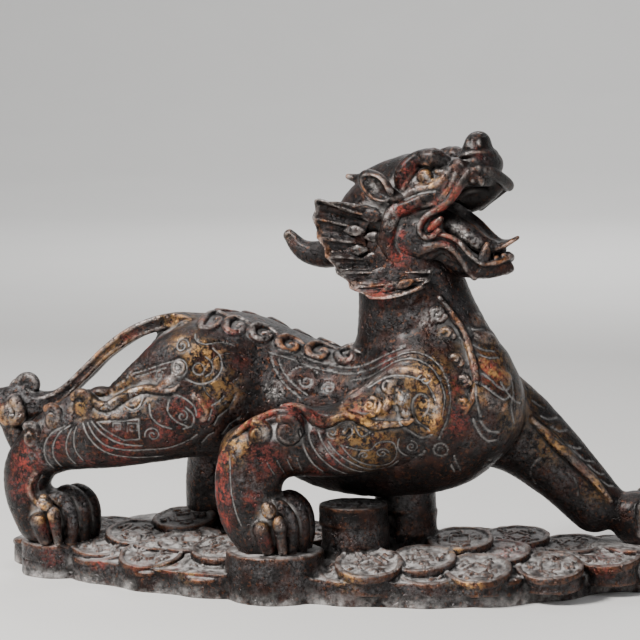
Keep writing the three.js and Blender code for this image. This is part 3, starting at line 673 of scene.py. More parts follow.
def engraveFlank(casting, side="right"):
    # A hook round an eye on the hip, short strokes behind the thigh and two swirls on the flank
    groove, ridge = tools(casting, side)
    groove(1.0, [(-41.2, 91.6), (-40.4, 89.3), (-37, 87.8), (-32, 88.3), (-27.5, 87.3)],
           [(-36, 83.6), (-33.6, 81.4), (-33.4, 78.4), (-35.6, 76.6)],
           [(-15, 84), (-12.6, 78.9), (-8.4, 73.4), (-2.9, 69.4)],
           [(-12, 82.4), (-9.6, 78), (-5.9, 74.1), (-0.4, 70.3)],
           spiral2d((-45.2, 87), 2.7, 1.5, 0, 1), arc2d((-38.1, 79.3), 2.1, 0, 360),
           spiral2d((-1, 74.9), 2.6, 1.4, 160, 1, 0.8), spiral2d((7.4, 73), 2.8, 1.4, 200, -1, 0.8))
    groove(1.1, [(-33.9, 86.4), (-30.9, 83.4), (-30.4, 78.8), (-33.2, 75.2), (-38.1, 74.1), (-43, 75.7)])
    groove(0.7, arc2d((-28, 76), 8.6, 60, 250))
    groove(0.8, arc2d((-2.6, 76.6), 5.2, 20, 200, 0.6))
    for points in ([(-34.6, 60.8), (-33.2, 64.9)], [(-33.2, 66.4), (-30.7, 67.9), (-28.9, 69.8)],
                   [(-32.8, 59), (-31, 62.4), (-27.6, 65.1), (-25.4, 69.7)],
                   [(-37.9, 52.2), (-35, 55.4), (-33.1, 56.3)], [(-30.4, 55.6), (-27.6, 59.4), (-24, 62)]):
        groove(1.1, straight2d(points))
    ridge(2.0, 0.8, [(-52.5, 72.4), (-49, 74.6), (-46.6, 77.2)])
    ridge(1.8, 0.9, [(-39.4, 69.4), (-37.4, 68.6), (-36.6, 66.4), (-35.4, 64.6), (-34.8, 62.6),
                     (-36.4, 61.4)])


def engraveShoulder(casting, side="right"):
    # Long curves from the flank round the shoulder, and inside them a curled leaf with an eye
    groove, ridge = tools(casting, side)
    leaf = [(16.4, 68.3), (16.4, 70.8), (19.3, 72.5), (24.8, 76.3), (32.3, 80.6), (40.2, 81), (45.9, 78.6),
            (49.2, 73.2), (49.6, 67.4), (46.6, 60.4)]
    groove(1.0, [(-15.4, 84.5), (-8.1, 82.5), (-0.1, 79.8), (8, 78.3), (15.4, 78.3), (22.8, 80.4),
                 (30.4, 84.4), (36.3, 87.1), (41.4, 87.4), (46.6, 85.1), (50.8, 80.3), (52.8, 73.7),
                 (52.3, 66.1), (48.6, 57.2)],
           [(-12.5, 85.6), (-6, 83.8), (2, 81.4), (9, 80.2), (15.1, 80.2), (21.9, 82.2), (29, 86),
            (36.1, 89)],
           [(16, 76.2), (22, 77.6), (27.4, 80.6), (33.2, 84.2), (39.7, 85.4), (45.6, 83), (49.2, 78.6),
            (51, 72.5), (50.4, 66.1)],
           [(40.1, 71.2), (42.6, 73.6), (45.4, 72), (45.6, 68.2), (43.6, 65.6)],
           spiral2d((44.2, 78.4), 2.6, 1.3, 170, -1, 0.8), spiral2d((39.4, 54.6), 2.2, 1.5, 90, -1),
           arc2d((39.6, 55.4), 4.6, 150, 330))
    groove(0.9, [(x - 1.2, z - 1.6) for x, z in leaf[3:8]])
    groove(1.1, [(40.1, 71.2), (40, 67.6), (41.9, 63.5), (46.6, 60.4)],
           [(34.7, 68.9), (35.4, 64.4), (39.5, 59.9), (43.4, 57.7), (46.5, 59.3)])
    ridge(2.4, 0.7, leaf)
    ridge(1.2, 0.9, [(16.4, 68.3), (19.5, 66.3), (24.5, 65.7), (28.5, 67.1), (28.7, 70.4), (25.9, 71.6)])
    ridge(0.9, 0.6, spiral2d((25.3, 69), 2.2, 1.3, 20, -1))
    ridge(0.9, 0.8, arc2d((31, 75.6), 1.7, 0, 360))
    ridge(1.9, 0.7, [(32, 76.6), (31.8, 72.6), (31, 68)])


def engraveArm(casting):
    groove = tools(casting)[0]
    groove(1.15, [(4.8, 62.7), (6, 57.1), (8.9, 52), (12.9, 47.6), (17.4, 44.4)],
           [(7.7, 62.6), (10.4, 56.6), (14.3, 51.2), (19.4, 46.7), (24, 44.6)],
           [(12.2, 57.2), (15.1, 53.2), (19.7, 49.4), (25.1, 46.4), (30.9, 46.8), (34.6, 49.3)],
           [(3, 61), (3.6, 55.6), (6, 50), (9.6, 45.6)])
    groove(1.0, [(16.5, 55.9), (22.5, 54.2), (26.3, 54.1), (28.7, 56.5), (33.5, 56.4), (34.6, 52.5),
                 (32, 48.6), (25.8, 48.2), (20.4, 51.1), (16.5, 55.9)],
           [(17, 60.6), (18.6, 62.8), (20.4, 60.4), (18.8, 58.4)],
           [(20.4, 64.3), (21.2, 61.9), (23.4, 58.9), (25.7, 60.4), (24, 62.6)],
           spiral2d((30, 52.6), 2.3, 1.4, 0, 1, 0.8), spiral2d((24, 52), 1.7, 1.3, 200, -1, 0.8),
           spiral2d((13.4, 60.3), 2.1, 1.4, 300, -1))
    groove(1.1, [(-22.6, 51.6), (-22.2, 46), (-21.6, 39), (-19.8, 31.5), (-18, 27)])
    for i in range(4):  # short hatching below the elbow curls
        groove(0.8, straight2d([(-9 + i * 3.4, 49.4 + i * 0.5), (-6.6 + i * 3.0, 44.4 + i * 0.4)]))


def engraveChest(casting):
    # Breast plates with lines between them, then a small ring and strokes on the belly
    groove, ridge = tools(casting)
    groove(1.25, [(56.4, 95.1), (58.5, 94.4), (61.4, 94.4)], [(58.6, 89.4), (62.1, 87.7), (65.4, 87)],
           [(59, 87.3), (63.2, 85.3), (67.3, 84.8)],
           [(61.1, 81), (65.1, 78.2), (68.2, 75.2), (70.6, 73.9), (71.8, 75.1)],
           [(61, 77.5), (64.4, 75.2), (68.1, 72.1), (70.4, 70.7), (72, 72.5)],
           [(61.3, 76.4), (61.3, 71.2), (62.7, 65.2)], [(60.2, 64.6), (62.2, 59.5), (65, 56.2), (67.7, 56.4)],
           [(62.7, 63.7), (65.3, 60), (68.4, 59.3)], [(71.9, 76.6), (72.6, 72.3), (72.3, 67.6), (72.9, 62.2)])
    ridge(3.4, 1.0, [(58.5, 97.4), (61.4, 97)], [(60.4, 92), (64.6, 90.6)],
          [(62.8, 83.4), (67.6, 79.4), (70.6, 77.8)], [(62.9, 73.5), (66, 70), (69.6, 68.6)])
    groove(0.8, arc2d((49.1, 53.5), 1.0, 0, 360))
    groove(1.0, arc2d((49.1, 53.5), 2.4, 0, 360), straight2d([(52.1, 47.8), (53.1, 44.4)]),
           straight2d([(53.4, 51.1), (55.3, 44.7)]), straight2d([(64, 48.6), (67, 46.6)]))

    # Left foreleg as seen from the right: plates in front of the crest, and the ring of the elbow
    groove(1.2, [(68.5, 76.7), (72.5, 70.6), (76.4, 66.5), (80, 64)],
           [(79, 61.4), (81.6, 60.2), (84.6, 60.4)], [(82.6, 57.6), (85.4, 55.8), (88.8, 56.2)],
           [(84.6, 54), (88.2, 51.1), (91.8, 49.4), (94.4, 50)], [(90.4, 49), (94.4, 45.4), (98.6, 44.4)],
           [(95.6, 43.6), (99.4, 40.4), (102.8, 39.8)], [(100, 38.6), (103.2, 36), (106, 36)])
    groove(0.9, [(88.2, 41.4), (91, 39.3), (92.3, 36.3), (92.4, 32.8)], arc2d((82, 40.5), 6.5, 110, 250))


def engraveLeft(casting):
    # What only the left side has: lines on the hind leg, and plates on the foreleg and the breast
    groove = tools(casting, "left")[0]
    for low in (52, 48, 44):
        groove(1.0, [(-54, low + 6), (-48, low), (-40, low - 1), (-34, low + 5)])
    for i in range(7):
        x, z = 70 + i * 5.2, 66 - i * 5.0
        groove(1.0, [(x - 1, z - 1.6), (x + 2.4, z - 0.6), (x + 4, z + 3)])
    for i in range(5):
        groove(1.0, [(58 - i * 0.6, 94 - i * 8), (63 + i, 90 - i * 8.4), (67 + i * 0.8, 91 - i * 8)])


def straight2d(points):
    # Straight runs between corners
    made = []
    for a, b in zip(points[:-1], points[1:]):
        count = max(2, int(math.dist(a, b) / 0.8) + 1)
        made += [np.array(a) + (np.array(b) - np.array(a)) * t for t in np.linspace(0, 1, count)]
    return np.array(made)


def meander2d(middle, size):
    # A square spiral
    x, z, s = middle[0], middle[1], size / 2
    turns = [(-1, -0.9), (-1, 1), (1, 1), (1, -0.5), (-0.45, -0.5), (-0.45, 0.45), (0.4, 0.45), (0.4, 0)]
    return straight2d([(x + a * s, z + b * s) for a, b in turns])


beastHead = {
    "place": [30, 0, 125],  # where the head turns on the neck
    "turn": -12,  # degrees, towards the beast's right
    "skull": [[-18, 0, 2, 11, 9], [-9, 0, 8, 13.5, 14], [1, 0, 11.5, 14.6, 15.6], [9, 0, 13.6, 13.2, 14.4]],
    "crest": [[2, 0, 24, 7, 5.6], [-5, 0, 22.6, 5.5, 5], [-12, 2, 21, 4.4, 4], [-18, 3, 20.6, 2.4, 2],
              [-22.5, 3, 21.4, 1, 1]],
    "cheek": ([8, 0, 0.2], [14, 16, 11.8]),
    "snout": [[6, 0, 19, 13, 10.5], [16, 0, 20.5, 11.5, 8.8], [24, 0, 22, 10.4, 6.8],
              [29, 0, 23.5, 9.6, 5.6]],
    "nose": [[30.5, 0, 23, 9.2, 4.6], [30.3, 0, 27, 8.4, 4.6], [29.8, 0, 31, 6.6, 4.2],
             [29.2, 0, 34.2, 5.2, 3.8]],
    "frontLip": [[30.6, -9.6, 24.6, 1.7, 1.7], [34, -8, 24.8, 1.9, 1.9], [36, -3.5, 23.8, 2, 2],
                 [37, 1, 22, 2, 2], [37.4, 5.5, 20.2, 2, 2], [37.2, 8.4, 18.9, 1.8, 1.8],
                 [35.6, 9.6, 18.6, 1.6, 1.6], [31, 9.6, 15.2, 1.6, 1.6], [26, 9.8, 11.4, 1.6, 1.6]],
    "muzzle": [[8, -11.5, 15, 2.5, 7], [16, -11.4, 17, 2.2, 6.5], [22, -10.6, 20.8, 2.2, 5.6],
               [27, -9.6, 26, 2, 4.4]],
    "mouth": [[14, -3, 9, 8, 2.4], [22, -3, 9.5, 9, 4.2], [28, -3, 12, 9, 7.4], [34, -3, 11, 9, 7.4]],
    "palate": [[14, 5, 14, 6, 6], [25, 6, 16, 5, 6], [32, 6, 20, 4, 4.5]],
    "jaw": [[5, 0, -4, 12.5, 9], [16, 0, -5, 8.4, 7], [25, 0, -8.5, 8, 4.6], [33, 0, -10, 7.6, 3.2],
            [38, 0, -8.6, 6, 3]],
    "tongue": [[12, -1.4, 9, 7.4, 4], [19, -1.4, 8, 7.6, 4], [26, -1.4, 4.4, 7.4, 4], [32, -1, 0, 6.2, 3.4],
               [37, -0.6, -1.4, 4, 2], [40.5, -1, -0.4, 2.4, 1.1], [44.4, -1.6, 1.6, 1.1, 0.7]],
    "tongueGroove": [[15, -1, 13.4, 3.2, 1.4], [20, -1, 12, 3.6, 1.5], [26, -1, 8.4, 3.6, 1.5],
                     [32, -0.8, 3.4, 2.8, 1.3], [37.6, -0.8, 0.7, 1.4, 0.7]],
    "tongueTilt": 20,  # degrees, far edge up
    "horn": [[-20, 0, -2, 7, 7], [-30, 0, -6.5, 4.4, 5.2], [-39, 0, -5.5, 3.2, 3.8], [-45, 0, 0, 1.8, 2.2]],
    "hornGroove": [[-33, -4.8, -5.6, 0.8, 1.4], [-40, -3.4, -3.6, 0.6, 1.2], [-44, -2, -0.5, 0.4, 0.8]],
    # reach of the mane fan by angle
    "rim": [(100, 20), (146, 22.5), (151, 27.4), (160, 26.8), (172, 25), (186, 22.4), (203, 20.8),
            (224, 19.8), (246, 20.6), (271, 20.8), (289, 21.4), (330, 22)],
    "fanStart": 9,  # reach at which the fan leaves the cheek
    "flutes": 5.4,  # degrees between the flutes of the fan, as seen from where they meet
    "fluteDepth": 2.0,
    "beadHeight": 0.7,
}


def headPoints(rows, side=1):
    # From the head's own frame to the beast's; side -1 mirrors a right-hand row to the left
    turn = math.radians(beastHead["turn"])
    x0, y0, z0 = beastHead["place"]
    made = []
    for x, y, z, *rest in rows:
        y *= side
        made.append([x0 + x * math.cos(turn) - y * math.sin(turn),
                     y0 + x * math.sin(turn) + y * math.cos(turn), z0 + z, *rest])
    return made


def makeHead():
    head = Casting((-27, -38, 94), (80, 38, 165), limbStep)
    turn, tilt = math.radians(beastHead["turn"]), math.radians(beastHead["tongueTilt"])
    across = (-math.sin(turn), math.cos(turn), 0)
    tongueAcross = (across[0] * math.cos(tilt), across[1] * math.cos(tilt), math.sin(tilt))

    def bar(blend, side, rows, spacing=2.0, across=across):
        head.add(limb(headPoints(rows, side), across, spacing), blend)

    def egg(blend, side, centre, radii, tilt=0):
        head.add(ball(headPoints([centre], side)[0], radii, beastHead["turn"], tilt), blend)

    def scoop(blend, rows, across=across):
        head.carve(limb(headPoints(rows), across), blend)

    bar(2, 1, beastHead["skull"])
    bar(3, 1, beastHead["crest"])
    egg(5, 1, *beastHead["cheek"])
    bar(3, 1, beastHead["snout"])
    egg(2, 1, [32.6, 1, 26.6], [4.4, 7.8, 4.6])
    bar(2.5, 1, beastHead["nose"])
    egg(1.5, 1, [28.4, 0, 33.2], [4.3, 5.8, 4.9])
    egg(2, 1, [26.4, 0, 28.6], [4.2, 6.6, 5])
    bar(3, 1, beastHead["jaw"])
    for side in (1, -1):
        bar(2, side, beastHead["muzzle"])
    scoop(1.0, beastHead["mouth"])
    bar(1.5, 1, beastHead["palate"])
    bar(0.8, 1, beastHead["frontLip"], 1.4)
    bar(0.6, 1, beastHead["tongue"], across=tongueAcross)
    scoop(0.8, beastHead["tongueGroove"], tongueAcross)
    bar(2, 1, beastHead["horn"])
    scoop(0.6, beastHead["hornGroove"])
    for side in (1, -1):
        addFace(head, bar, egg, side)
        addEar(head, bar, across, side)
        addMane(head, bar, side)
    head.roughen(4.0, 0.1, 4)
    head.measureSkin()
    for side in (1, -1):
        creaseFace(head, side)
    return head


def addFace(head, bar, egg, side):
    # A leaf of hair over the brow, then two lumps, and the eye under them
    bar(1.0, side, [[5.2, -13.4, 18.6, 1.6, 1.4], [5.4, -13, 22.6, 2.6, 2.9], [7.4, -12.2, 26, 2.8, 3.2],
                    [10.2, -11.2, 29, 2.4, 2.4], [13.6, -10.4, 31.2, 1.2, 1.1]])
    bar(0.8, side, [[12.4, -10.8, 29.2, 3, 2.6], [16.2, -10.4, 29.4, 3.8, 3.3], [20, -9.2, 28.2, 2.8, 2.4]])
    egg(0.3, side, [14, -12.6, 22.7], [2.9, 2.4, 2.7])
    head.mark(np.array(headPoints([[14 + 1.0 * math.cos(a), -15, 22.7 + 1.0 * math.sin(a)]
                                   for a in np.linspace(0, 6.3, 14)], side)), 0.5, -0.45)
    # The bold ridge that bounds the cheek, curling forward at both ends
    bar(1.2, side, [[18.6, -12, 15.6, 1.2, 1.2], [13.8, -13.4, 15.5, 1.9, 2.0], [11.5, -14, 13.8, 2.2, 2.3],
                    [7.4, -14.6, 12, 2.4, 2.6], [3.8, -15.2, 10.6, 2.5, 2.9], [2.2, -15.6, 7.4, 2.5, 3.0],
                    [1.4, -15.7, 3.8, 2.5, 3.0], [0.8, -15.7, 0.2, 2.5, 2.9], [2.2, -15.2, -3.6, 2.4, 2.6],
                    [4.6, -14.4, -6.6, 2.2, 2.3], [7.2, -13.4, -8.8, 1.8, 1.8],
                    [10.2, -12.4, -9.8, 1.2, 1.2]], 1.6)
    # Upper lip: down from the fang, back along the cheek and round the corner of the mouth
    bar(0.4, side, [[32.6, -9.2, 25.4, 1.6, 1.6], [29.8, -10, 24.4, 1.8, 1.7], [27.4, -10.6, 21.8, 1.9, 1.7],
                    [25.4, -11.2, 18, 1.9, 1.6], [22.4, -11.9, 14.2, 1.9, 1.6], [18, -12.8, 10.8, 1.8, 1.5],
                    [14.9, -13.6, 8.6, 1.8, 1.3], [13.1, -14, 5.8, 1.8, 1.3], [13.4, -14, 3.2, 1.8, 1.3],
                    [15.2, -13.8, 1.7, 1.7, 1.3], [17.6, -13.4, 2.1, 1.5, 1.2],
                    [19.6, -13, 4, 1.4, 1.1]], 1.2)
    bar(0.4, side, [[15.8, -12.6, 4, 1.6, 1.1], [18, -12.7, 6, 2.0, 1.6], [19.8, -12.2, 8, 1.5, 1.2]], 1.2)
    # Lower lip: a pale inner roll, an outer roll under it and the wall of the jaw
    bar(0.3, side, [[18.6, -12.8, 2.6, 1.1, 0.9], [22.4, -12, 2.2, 1.2, 1.0], [26.2, -11.2, 0.2, 1.2, 1.0],
                    [29, -10.6, -3.2, 1.2, 1.0], [31.8, -9.8, -5.8, 1.2, 1.0], [35, -8.8, -7.2, 1.2, 1.0],
                    [39, -6, -6.8, 1.1, 0.9], [41, -2, -5.4, 1.1, 0.9], [41.4, 0, -5, 1.1, 0.9]], 1.2)
    bar(1.0, side, [[12, -13.4, -3.4, 1.8, 2.2], [16, -13.2, -2, 1.8, 1.9], [20.4, -12.4, -0.8, 1.8, 1.6],
                    [24.4, -11.6, -2.4, 1.9, 1.6], [27.2, -10.8, -5.6, 1.9, 1.6], [29.2, -10, -9, 1.8, 1.5],
                    [31.2, -8.6, -12, 1.5, 1.3]], 1.2)
    bar(1.0, side, [[7, -11, -4.6, 2, 4], [14, -11.4, -4, 1.8, 3], [20, -11, -2.2, 1.4, 2],
                    [26, -10, -5, 1.4, 2.6], [31, -8.6, -8.6, 1.4, 3], [36, -6.4, -9.4, 1.4, 3],
                    [39.6, -2.4, -8.6, 1.4, 2.8], [40.2, 0, -8.2, 1.4, 2.8]])
    # Fang, canine and the lumps of the front teeth
    bar(0.6, side, [[32.4, -8.8, 24, 2, 1.8], [33.2, -8.8, 22, 1.6, 1.6], [33.6, -8.6, 20.4, 0.9, 0.8]], 1.2)
    egg(0.4, side, [30.6, -9.4, 22.2], [1.9, 1.5, 1.7])
    bar(0.3, side, [[34, -7.6, -6.8, 2.5, 2.5], [34.8, -7.6, -3.4, 1.8, 1.9],
                    [35.4, -7.4, -0.6, 1.0, 1.0]], 1.2)
    for x, y, z in ((38.0, -5.2, -5.2), (39.8, -2.6, -4.6), (40.3, 0, -4.3)):
        egg(0.5, side, [x, y, z - 0.6], [1.3, 1.5, 1.5])
    # Three stacked lumps of the nose, with a curl at the nostril
    for x, w, reach in ((29.4, 30.2, 6.4), (30.2, 25.6, 8.6)):
        bar(0.6, side, [[x - 4.6, -reach + 0.8, w - 1.4, 1.5, 1.2],
                        [x - 1.8, -reach - 0.2, w + 0.2, 1.8, 1.4],
                        [x + 1.8, -reach * 0.86, w + 0.7, 1.8, 1.4],
                        [x + 3.8, -reach * 0.45, w + 0.4, 1.8, 1.4], [x + 4.3, 0, w + 0.2, 1.8, 1.4]], 1.4)
    bar(0.5, side, [[26.8, -4.6, 35, 0.7, 0.7], [27.2, -5.2, 33.2, 0.9, 0.9], [29.2, -5.6, 32.5, 1.0, 0.9],
                    [31.2, -5, 33.4, 0.9, 0.9], [31, -4.6, 35, 0.7, 0.7]], 1.2)


def creaseFace(head, side):
    # Soft folds of lid, eye bag and muzzle, as broad low welts with fine creases between them
    def faceLine(half, height, out, points):
        flat = [(p[0], p[2]) for p in headPoints([[u, -out, w] for u, w in points], side)]
        head.mark(head.onSkin(curve2d(flat), "right" if side > 0 else "left"), half, height)

    faceLine(1.2, 0.7, 13, [(5.8, 16.2), (7.8, 21.1), (9.8, 24), (12.2, 26.4), (14.7, 27.2), (16.7, 26.2),
                            (18.4, 24.6), (20.4, 24.6)])
    faceLine(1.5, 0.8, 12.5, [(3.4, 15), (6.4, 16), (10.7, 18), (17.2, 19.4), (20.5, 21.8), (22, 24)])
    faceLine(1.0, 0.6, 12.8, [(11, 20.2), (14, 19.9), (17, 21.2)])
    faceLine(1.2, 0.6, 12, [(13.6, 12.4), (17.6, 13.6), (21.4, 16.4), (24.2, 20.4), (25.2, 23.4)])
    faceLine(0.6, -0.4, 12, [(12.2, 10.4), (17.4, 12.2), (21.6, 14.6), (24, 18.4)])
    faceLine(0.8, -0.5, 12.8, [(7.4, 14.6), (12.4, 16.8), (18, 17.9)])
    for u, w in ((5.8, 21.4), (6.6, 24), (8.4, 26.6), (10.6, 28.8)):
        faceLine(0.5, -0.3, 13, [(u - 1.4, w - 0.8), (u, w + 0.2), (u + 1.6, w + 0.2)])


def addEar(head, bar, across, side):
    # A cupped leaf, pointed at its lower front end
    centre = headPoints([[-2.4, -17.6, 19.3]], side)[0]
    head.add(ball(centre, [8, 3.2, 4.9], beastHead["turn"] - 14 * side, -27), 1.0)
    bar(1.0, side, [[6.4, -14.4, 13.8, 0.9, 0.9], [3.8, -15.6, 15.2, 1.8, 2.4], [-0.4, -16, 17.4, 2.2, 3.6]])
    hollow = headPoints([[4.2, -18.6, 14.9, 0.8, 0.9], [1.4, -19.6, 16.6, 2.2, 2.3],
                         [-2.6, -20.6, 19.2, 3.4, 3.5], [-6.6, -20.8, 21.7, 2.2, 2.2]], side)
    head.carve(limb(hollow, across, 1.6), 0.4)


def addMane(head, bar, side):
    turn = math.radians(beastHead["turn"])
    x0, y0, z0 = beastHead["place"]
    start = beastHead["fanStart"]
    dense = smoothStations([[a, r, 0] for a, r in beastHead["rim"]], 2.0)

    def lateral(share, u):
        # how far the fan stands out from the middle of the head
        return 14 + 8.2 * share ** 1.15 - 6.5 * np.clip((u - 6) / 11, 0, 1) ** 1.6

    def fan(x, y, z):
        # A fluted shell that flares from the cheek to a thin beaded rim
        u = (x - x0) * math.cos(turn) + (y - y0) * math.sin(turn)
        v = (-(x - x0) * math.sin(turn) + (y - y0) * math.cos(turn)) * side
        w = z - z0
        angle = np.degrees(np.arctan2(w - 1, u - 1)) % 360
        reach = np.sqrt((u - 1) ** 2 + (w - 1) ** 2)
        rim = np.interp(angle, dense[:, 0], dense[:, 1])
        share = np.clip((reach - start) / (rim - start), 0, 1)
        flow = np.degrees(np.arctan2(w + 9.4, u - 44)) % 360
        wave = (flow - 160.5) / beastHead["flutes"]
        flute = 0.55 - np.abs(np.sin(np.pi * wave)) ** 0.8 - 0.22 * np.abs(np.sin(3 * np.pi * wave))
        bead = np.exp(-((rim - reach - 0.5) / 0.85) ** 2)
        fluted = beastHead["fluteDepth"] * flute * np.clip(share * 2.2, 0, 1) * (1 - bead)
        outer = lateral(share, u) + fluted + beastHead["beadHeight"] * bead
        rim = rim + 0.5 * np.cos(2 * np.pi * wave)
        half = 1.5 - 0.4 * share
        sheet = np.abs(-v - outer + half) - half
        top = (w - 11.4 + 0.2 * (u + 4)) * 0.95
        front = np.maximum((u - 17) * 0.9, np.minimum(u - 3, w + 9) * 0.7)
        ends = np.maximum(np.maximum(top, front), start - reach)
        return np.maximum(np.maximum(sheet * 0.8, reach - rim), ends)

    head.addShape((-27, 0 if side < 0 else -34, 98), (60, 34 if side < 0 else 0, 150), fan, 0.6)
    # Pointed locks where the flutes begin, their tips to the back
    for x, z, long, thick, lean in ((-5.8, 8.8, 5.4, 2.4, 4), (-11.6, 3.4, 3.4, 2.0, 0),
                                    (-4.8, 1.2, 3.4, 2.0, 0), (-10.6, -3.6, 3.6, 2.0, -6),
                                    (-5.5, -6.6, 4, 2.4, -8), (-1.2, -11.6, 5.6, 2.4, -10),
                                    (3.5, -16, 3.2, 1.8, -30), (8.6, -14.8, 3.4, 1.7, -25)):
        reach = np.clip((math.hypot(x - 1, z - 1) - start) / 12, 0, 1)
        out = float(lateral(reach, x))
        dx, dz = long * math.cos(math.radians(lean)), long * math.sin(math.radians(lean))
        bar(0.2, side, [[x + dx, -out + 0.6, z - dz, 0.7, 0.8],
                        [x + dx * 0.3, -out - 0.3, z - dz * 0.3, 1.0, thick],
                        [x - dx * 0.5, -out - 0.3, z + dz * 0.5, 0.9, thick * 0.7],
                        [x - dx * 1.2, -out, z + dz * 1.2, 0.5, 0.4]], 1.4)
    # Ribs of hair under the jaw, from the fan forward to the throat
    for k in range(4):
        bar(0.7, side, [[2 + 3 * k, -15 + 0.6 * k, -15.5 - 0.6 * k, 0.9, 0.9],
                        [7 + 3 * k, -12.4 + 0.6 * k, -15.8, 1.2, 1.2],
                        [11.5 + 2.4 * k, -9.5 + 0.6 * k, -13.6, 0.8, 0.8]], 1.4)


coinBed = {
    "outline": [(-120, 8), (-99, -13), (-68, -31), (-34, -40), (8, -41), (48, -38), (80, -23), (108, 4),
                (126, 20), (110, 35), (76, 38), (28, 37), (-30, 40), (-74, 40), (-105, 29)],
    "slabTop": 8.6,
    "wallInset": 1.2,
    "radius": 12,
    "thickness": 2.3,
    "rimWidth": 2.3,
    "field": 0.8,  # how deep the field lies below the rim
    "squareOut": 4.0,  # the frame round the square, from the middle
    "squareIn": 2.5,
    "edgeCoins": 21,
    "edgeInset": 11.2,
    "edgeSlope": (0.2, 0.3),  # how far the coins of the edge lean outwards
    "innerCoins": 11,
    "innerInset": 24,
    # x, y, height of the rim, turn of the square in degrees, slope along x, slope along y
    "looseCoins": [(52, -2, 18.4, 10, 0.01, 0.16), (70, 14, 17.4, 52, 0, 0.1), (66, -6, 15.2, 30, 0.03, 0.17),
                   (25, -31, 14.2, 41, -0.02, 0.26), (42, -22, 14.8, 20, 0.02, 0.2),
                   (86, -14, 12.6, 8, 0.01, 0.22), (62, -24, 12.6, 62, -0.02, 0.24),
                   (90, 16, 14.8, 70, 0.02, 0.08), (104, 4, 13.4, 33, 0.04, 0.16),
                   (-54, 9, 19.4, 25, 0.02, 0.16), (-68, -4, 15.6, 60, -0.06, 0.18),
                   (-46, -10, 15.2, 12, 0.02, 0.18), (-31, -18, 14.6, 40, 0.04, 0.2),
                   (-79, -12, 12.8, 20, -0.06, 0.2), (-57, -23, 12.0, 50, 0, 0.24),
                   (4, 16, 16.4, 33, 0, 0.03), (-10, 4, 15.2, 10, 0, 0), (26, 22, 14.6, 55, 0.02, 0.04),
                   (52, 24, 14.8, 15, 0, 0.05), (-86, 18, 13.8, 35, -0.03, 0.03), (-14, 26, 14, 70, 0, 0.04)],
    # x, y, bottom, top, radius: deep discs under the paws, and one behind the tail
    "pedestals": [(-9.1, -30, 0, 16.7, 17.2), (-97, -8, 0, 12.4, 14.2), (113, 20, 0, 15.2, 15.2),
                  (-40, 24, 6, 13.8, 15), (-70, 30, 0, 12.9, 16.2)],
    "stacks": [(31.5, 3, 10, 35.8, 11), (16, -14, 10, 31.4, 12.2)],  # x, y, bottom, top, radius
    "stackLayers": 3,
    "seed": 9,
}


def closedCurve(points, count):
    # A smooth ring of count points through the given ones
    rows = np.array(points, float)
    n = len(rows)
    t = np.arange(count) / count * n
    i = np.floor(t).astype(int)
    f = (t - i)[:, None]
    a, b, c, d = rows[(i - 1) % n], rows[i % n], rows[(i + 1) % n], rows[(i + 2) % n]
    square, cube = 2 * a - 5 * b + 4 * c - d, 3 * b - a - 3 * c + d
    return 0.5 * (2 * b + (c - a) * f + square * f ** 2 + cube * f ** 3)


def outlineDistance(x, y, ring):
    # Signed distance in the plane to a closed ring, below 0 inside
    px, py = x[:, None], y[None, :]
    nearest = np.full((len(x), len(y)), 1e6)
    inside = np.zeros((len(x), len(y)), bool)
    for (ax, ay), (bx, by) in zip(ring, np.roll(ring, -1, axis=0)):
        ex, ey = bx - ax, by - ay
        t = np.clip(((px - ax) * ex + (py - ay) * ey) / max(ex * ex + ey * ey, 1e-9), 0, 1)
        nearest = np.minimum(nearest, (px - ax - t * ex) ** 2 + (py - ay - t * ey) ** 2)
        if ay != by:
            crosses = ((ay > py) != (by > py)) & (px < ex * (py - ay) / ey + ax)
            inside ^= crosses
    return np.where(inside, -1, 1) * np.sqrt(nearest)


def coinRelief(u, v, radius, strokes):
    # Height of a coin's face against its rim: a sunk field, a square frame with a sunk middle, and strokes
    reach = np.sqrt(u * u + v * v)
    square = np.maximum(np.abs(u), np.abs(v))
    field = coinBed["field"]
    rim = np.clip((reach - radius + coinBed["rimWidth"]) / 0.6, 0, 1)
    around = np.clip((square - coinBed["squareIn"]) / 0.5, 0, 1)
    around = around * np.clip((coinBed["squareOut"] - square) / 0.5, 0, 1)
    middle = np.clip((2.9 - square) / 0.5, 0, 1)
    relief = -field + field * np.maximum(rim, around) - 0.5 * middle
    for (au, av), (bu, bv) in strokes:
        eu, ev = bu - au, bv - av
        t = np.clip(((u - au) * eu + (v - av) * ev) / (eu * eu + ev * ev + 1e-6), 0, 1)
        gap = np.sqrt((u - au - t * eu) ** 2 + (v - av - t * ev) ** 2)
        relief = np.maximum(relief, -field + 0.85 * np.clip((0.85 - gap) / 0.4, 0, 1))
    return relief


def coinStrokes(rng, radius):
    # Rows of short strokes on the four sides of the square, which stand for an inscription without being one
    strokes = []
    for side in range(4):
        c, s = math.cos(side * math.pi / 2), math.sin(side * math.pi / 2)
        for row in range(2):
            out = 5.3 + row * 2.0
            if out > radius - 3.2:
                continue
            for across in (-1, 1):
                a = across * rng.uniform(0.5, 1.0), out + rng.uniform(-0.3, 0.3)
                b = (a[0] + across * rng.uniform(0.8, 2.2), out + rng.uniform(-0.9, 0.9))
                if rng.random() < 0.4:
                    b = (a[0] + across * rng.uniform(0, 0.5), out + rng.choice([-1.3, 1.3]))
                strokes.append([(u * c - v * s, u * s + v * c) for u, v in (a, b)])
    return strokes


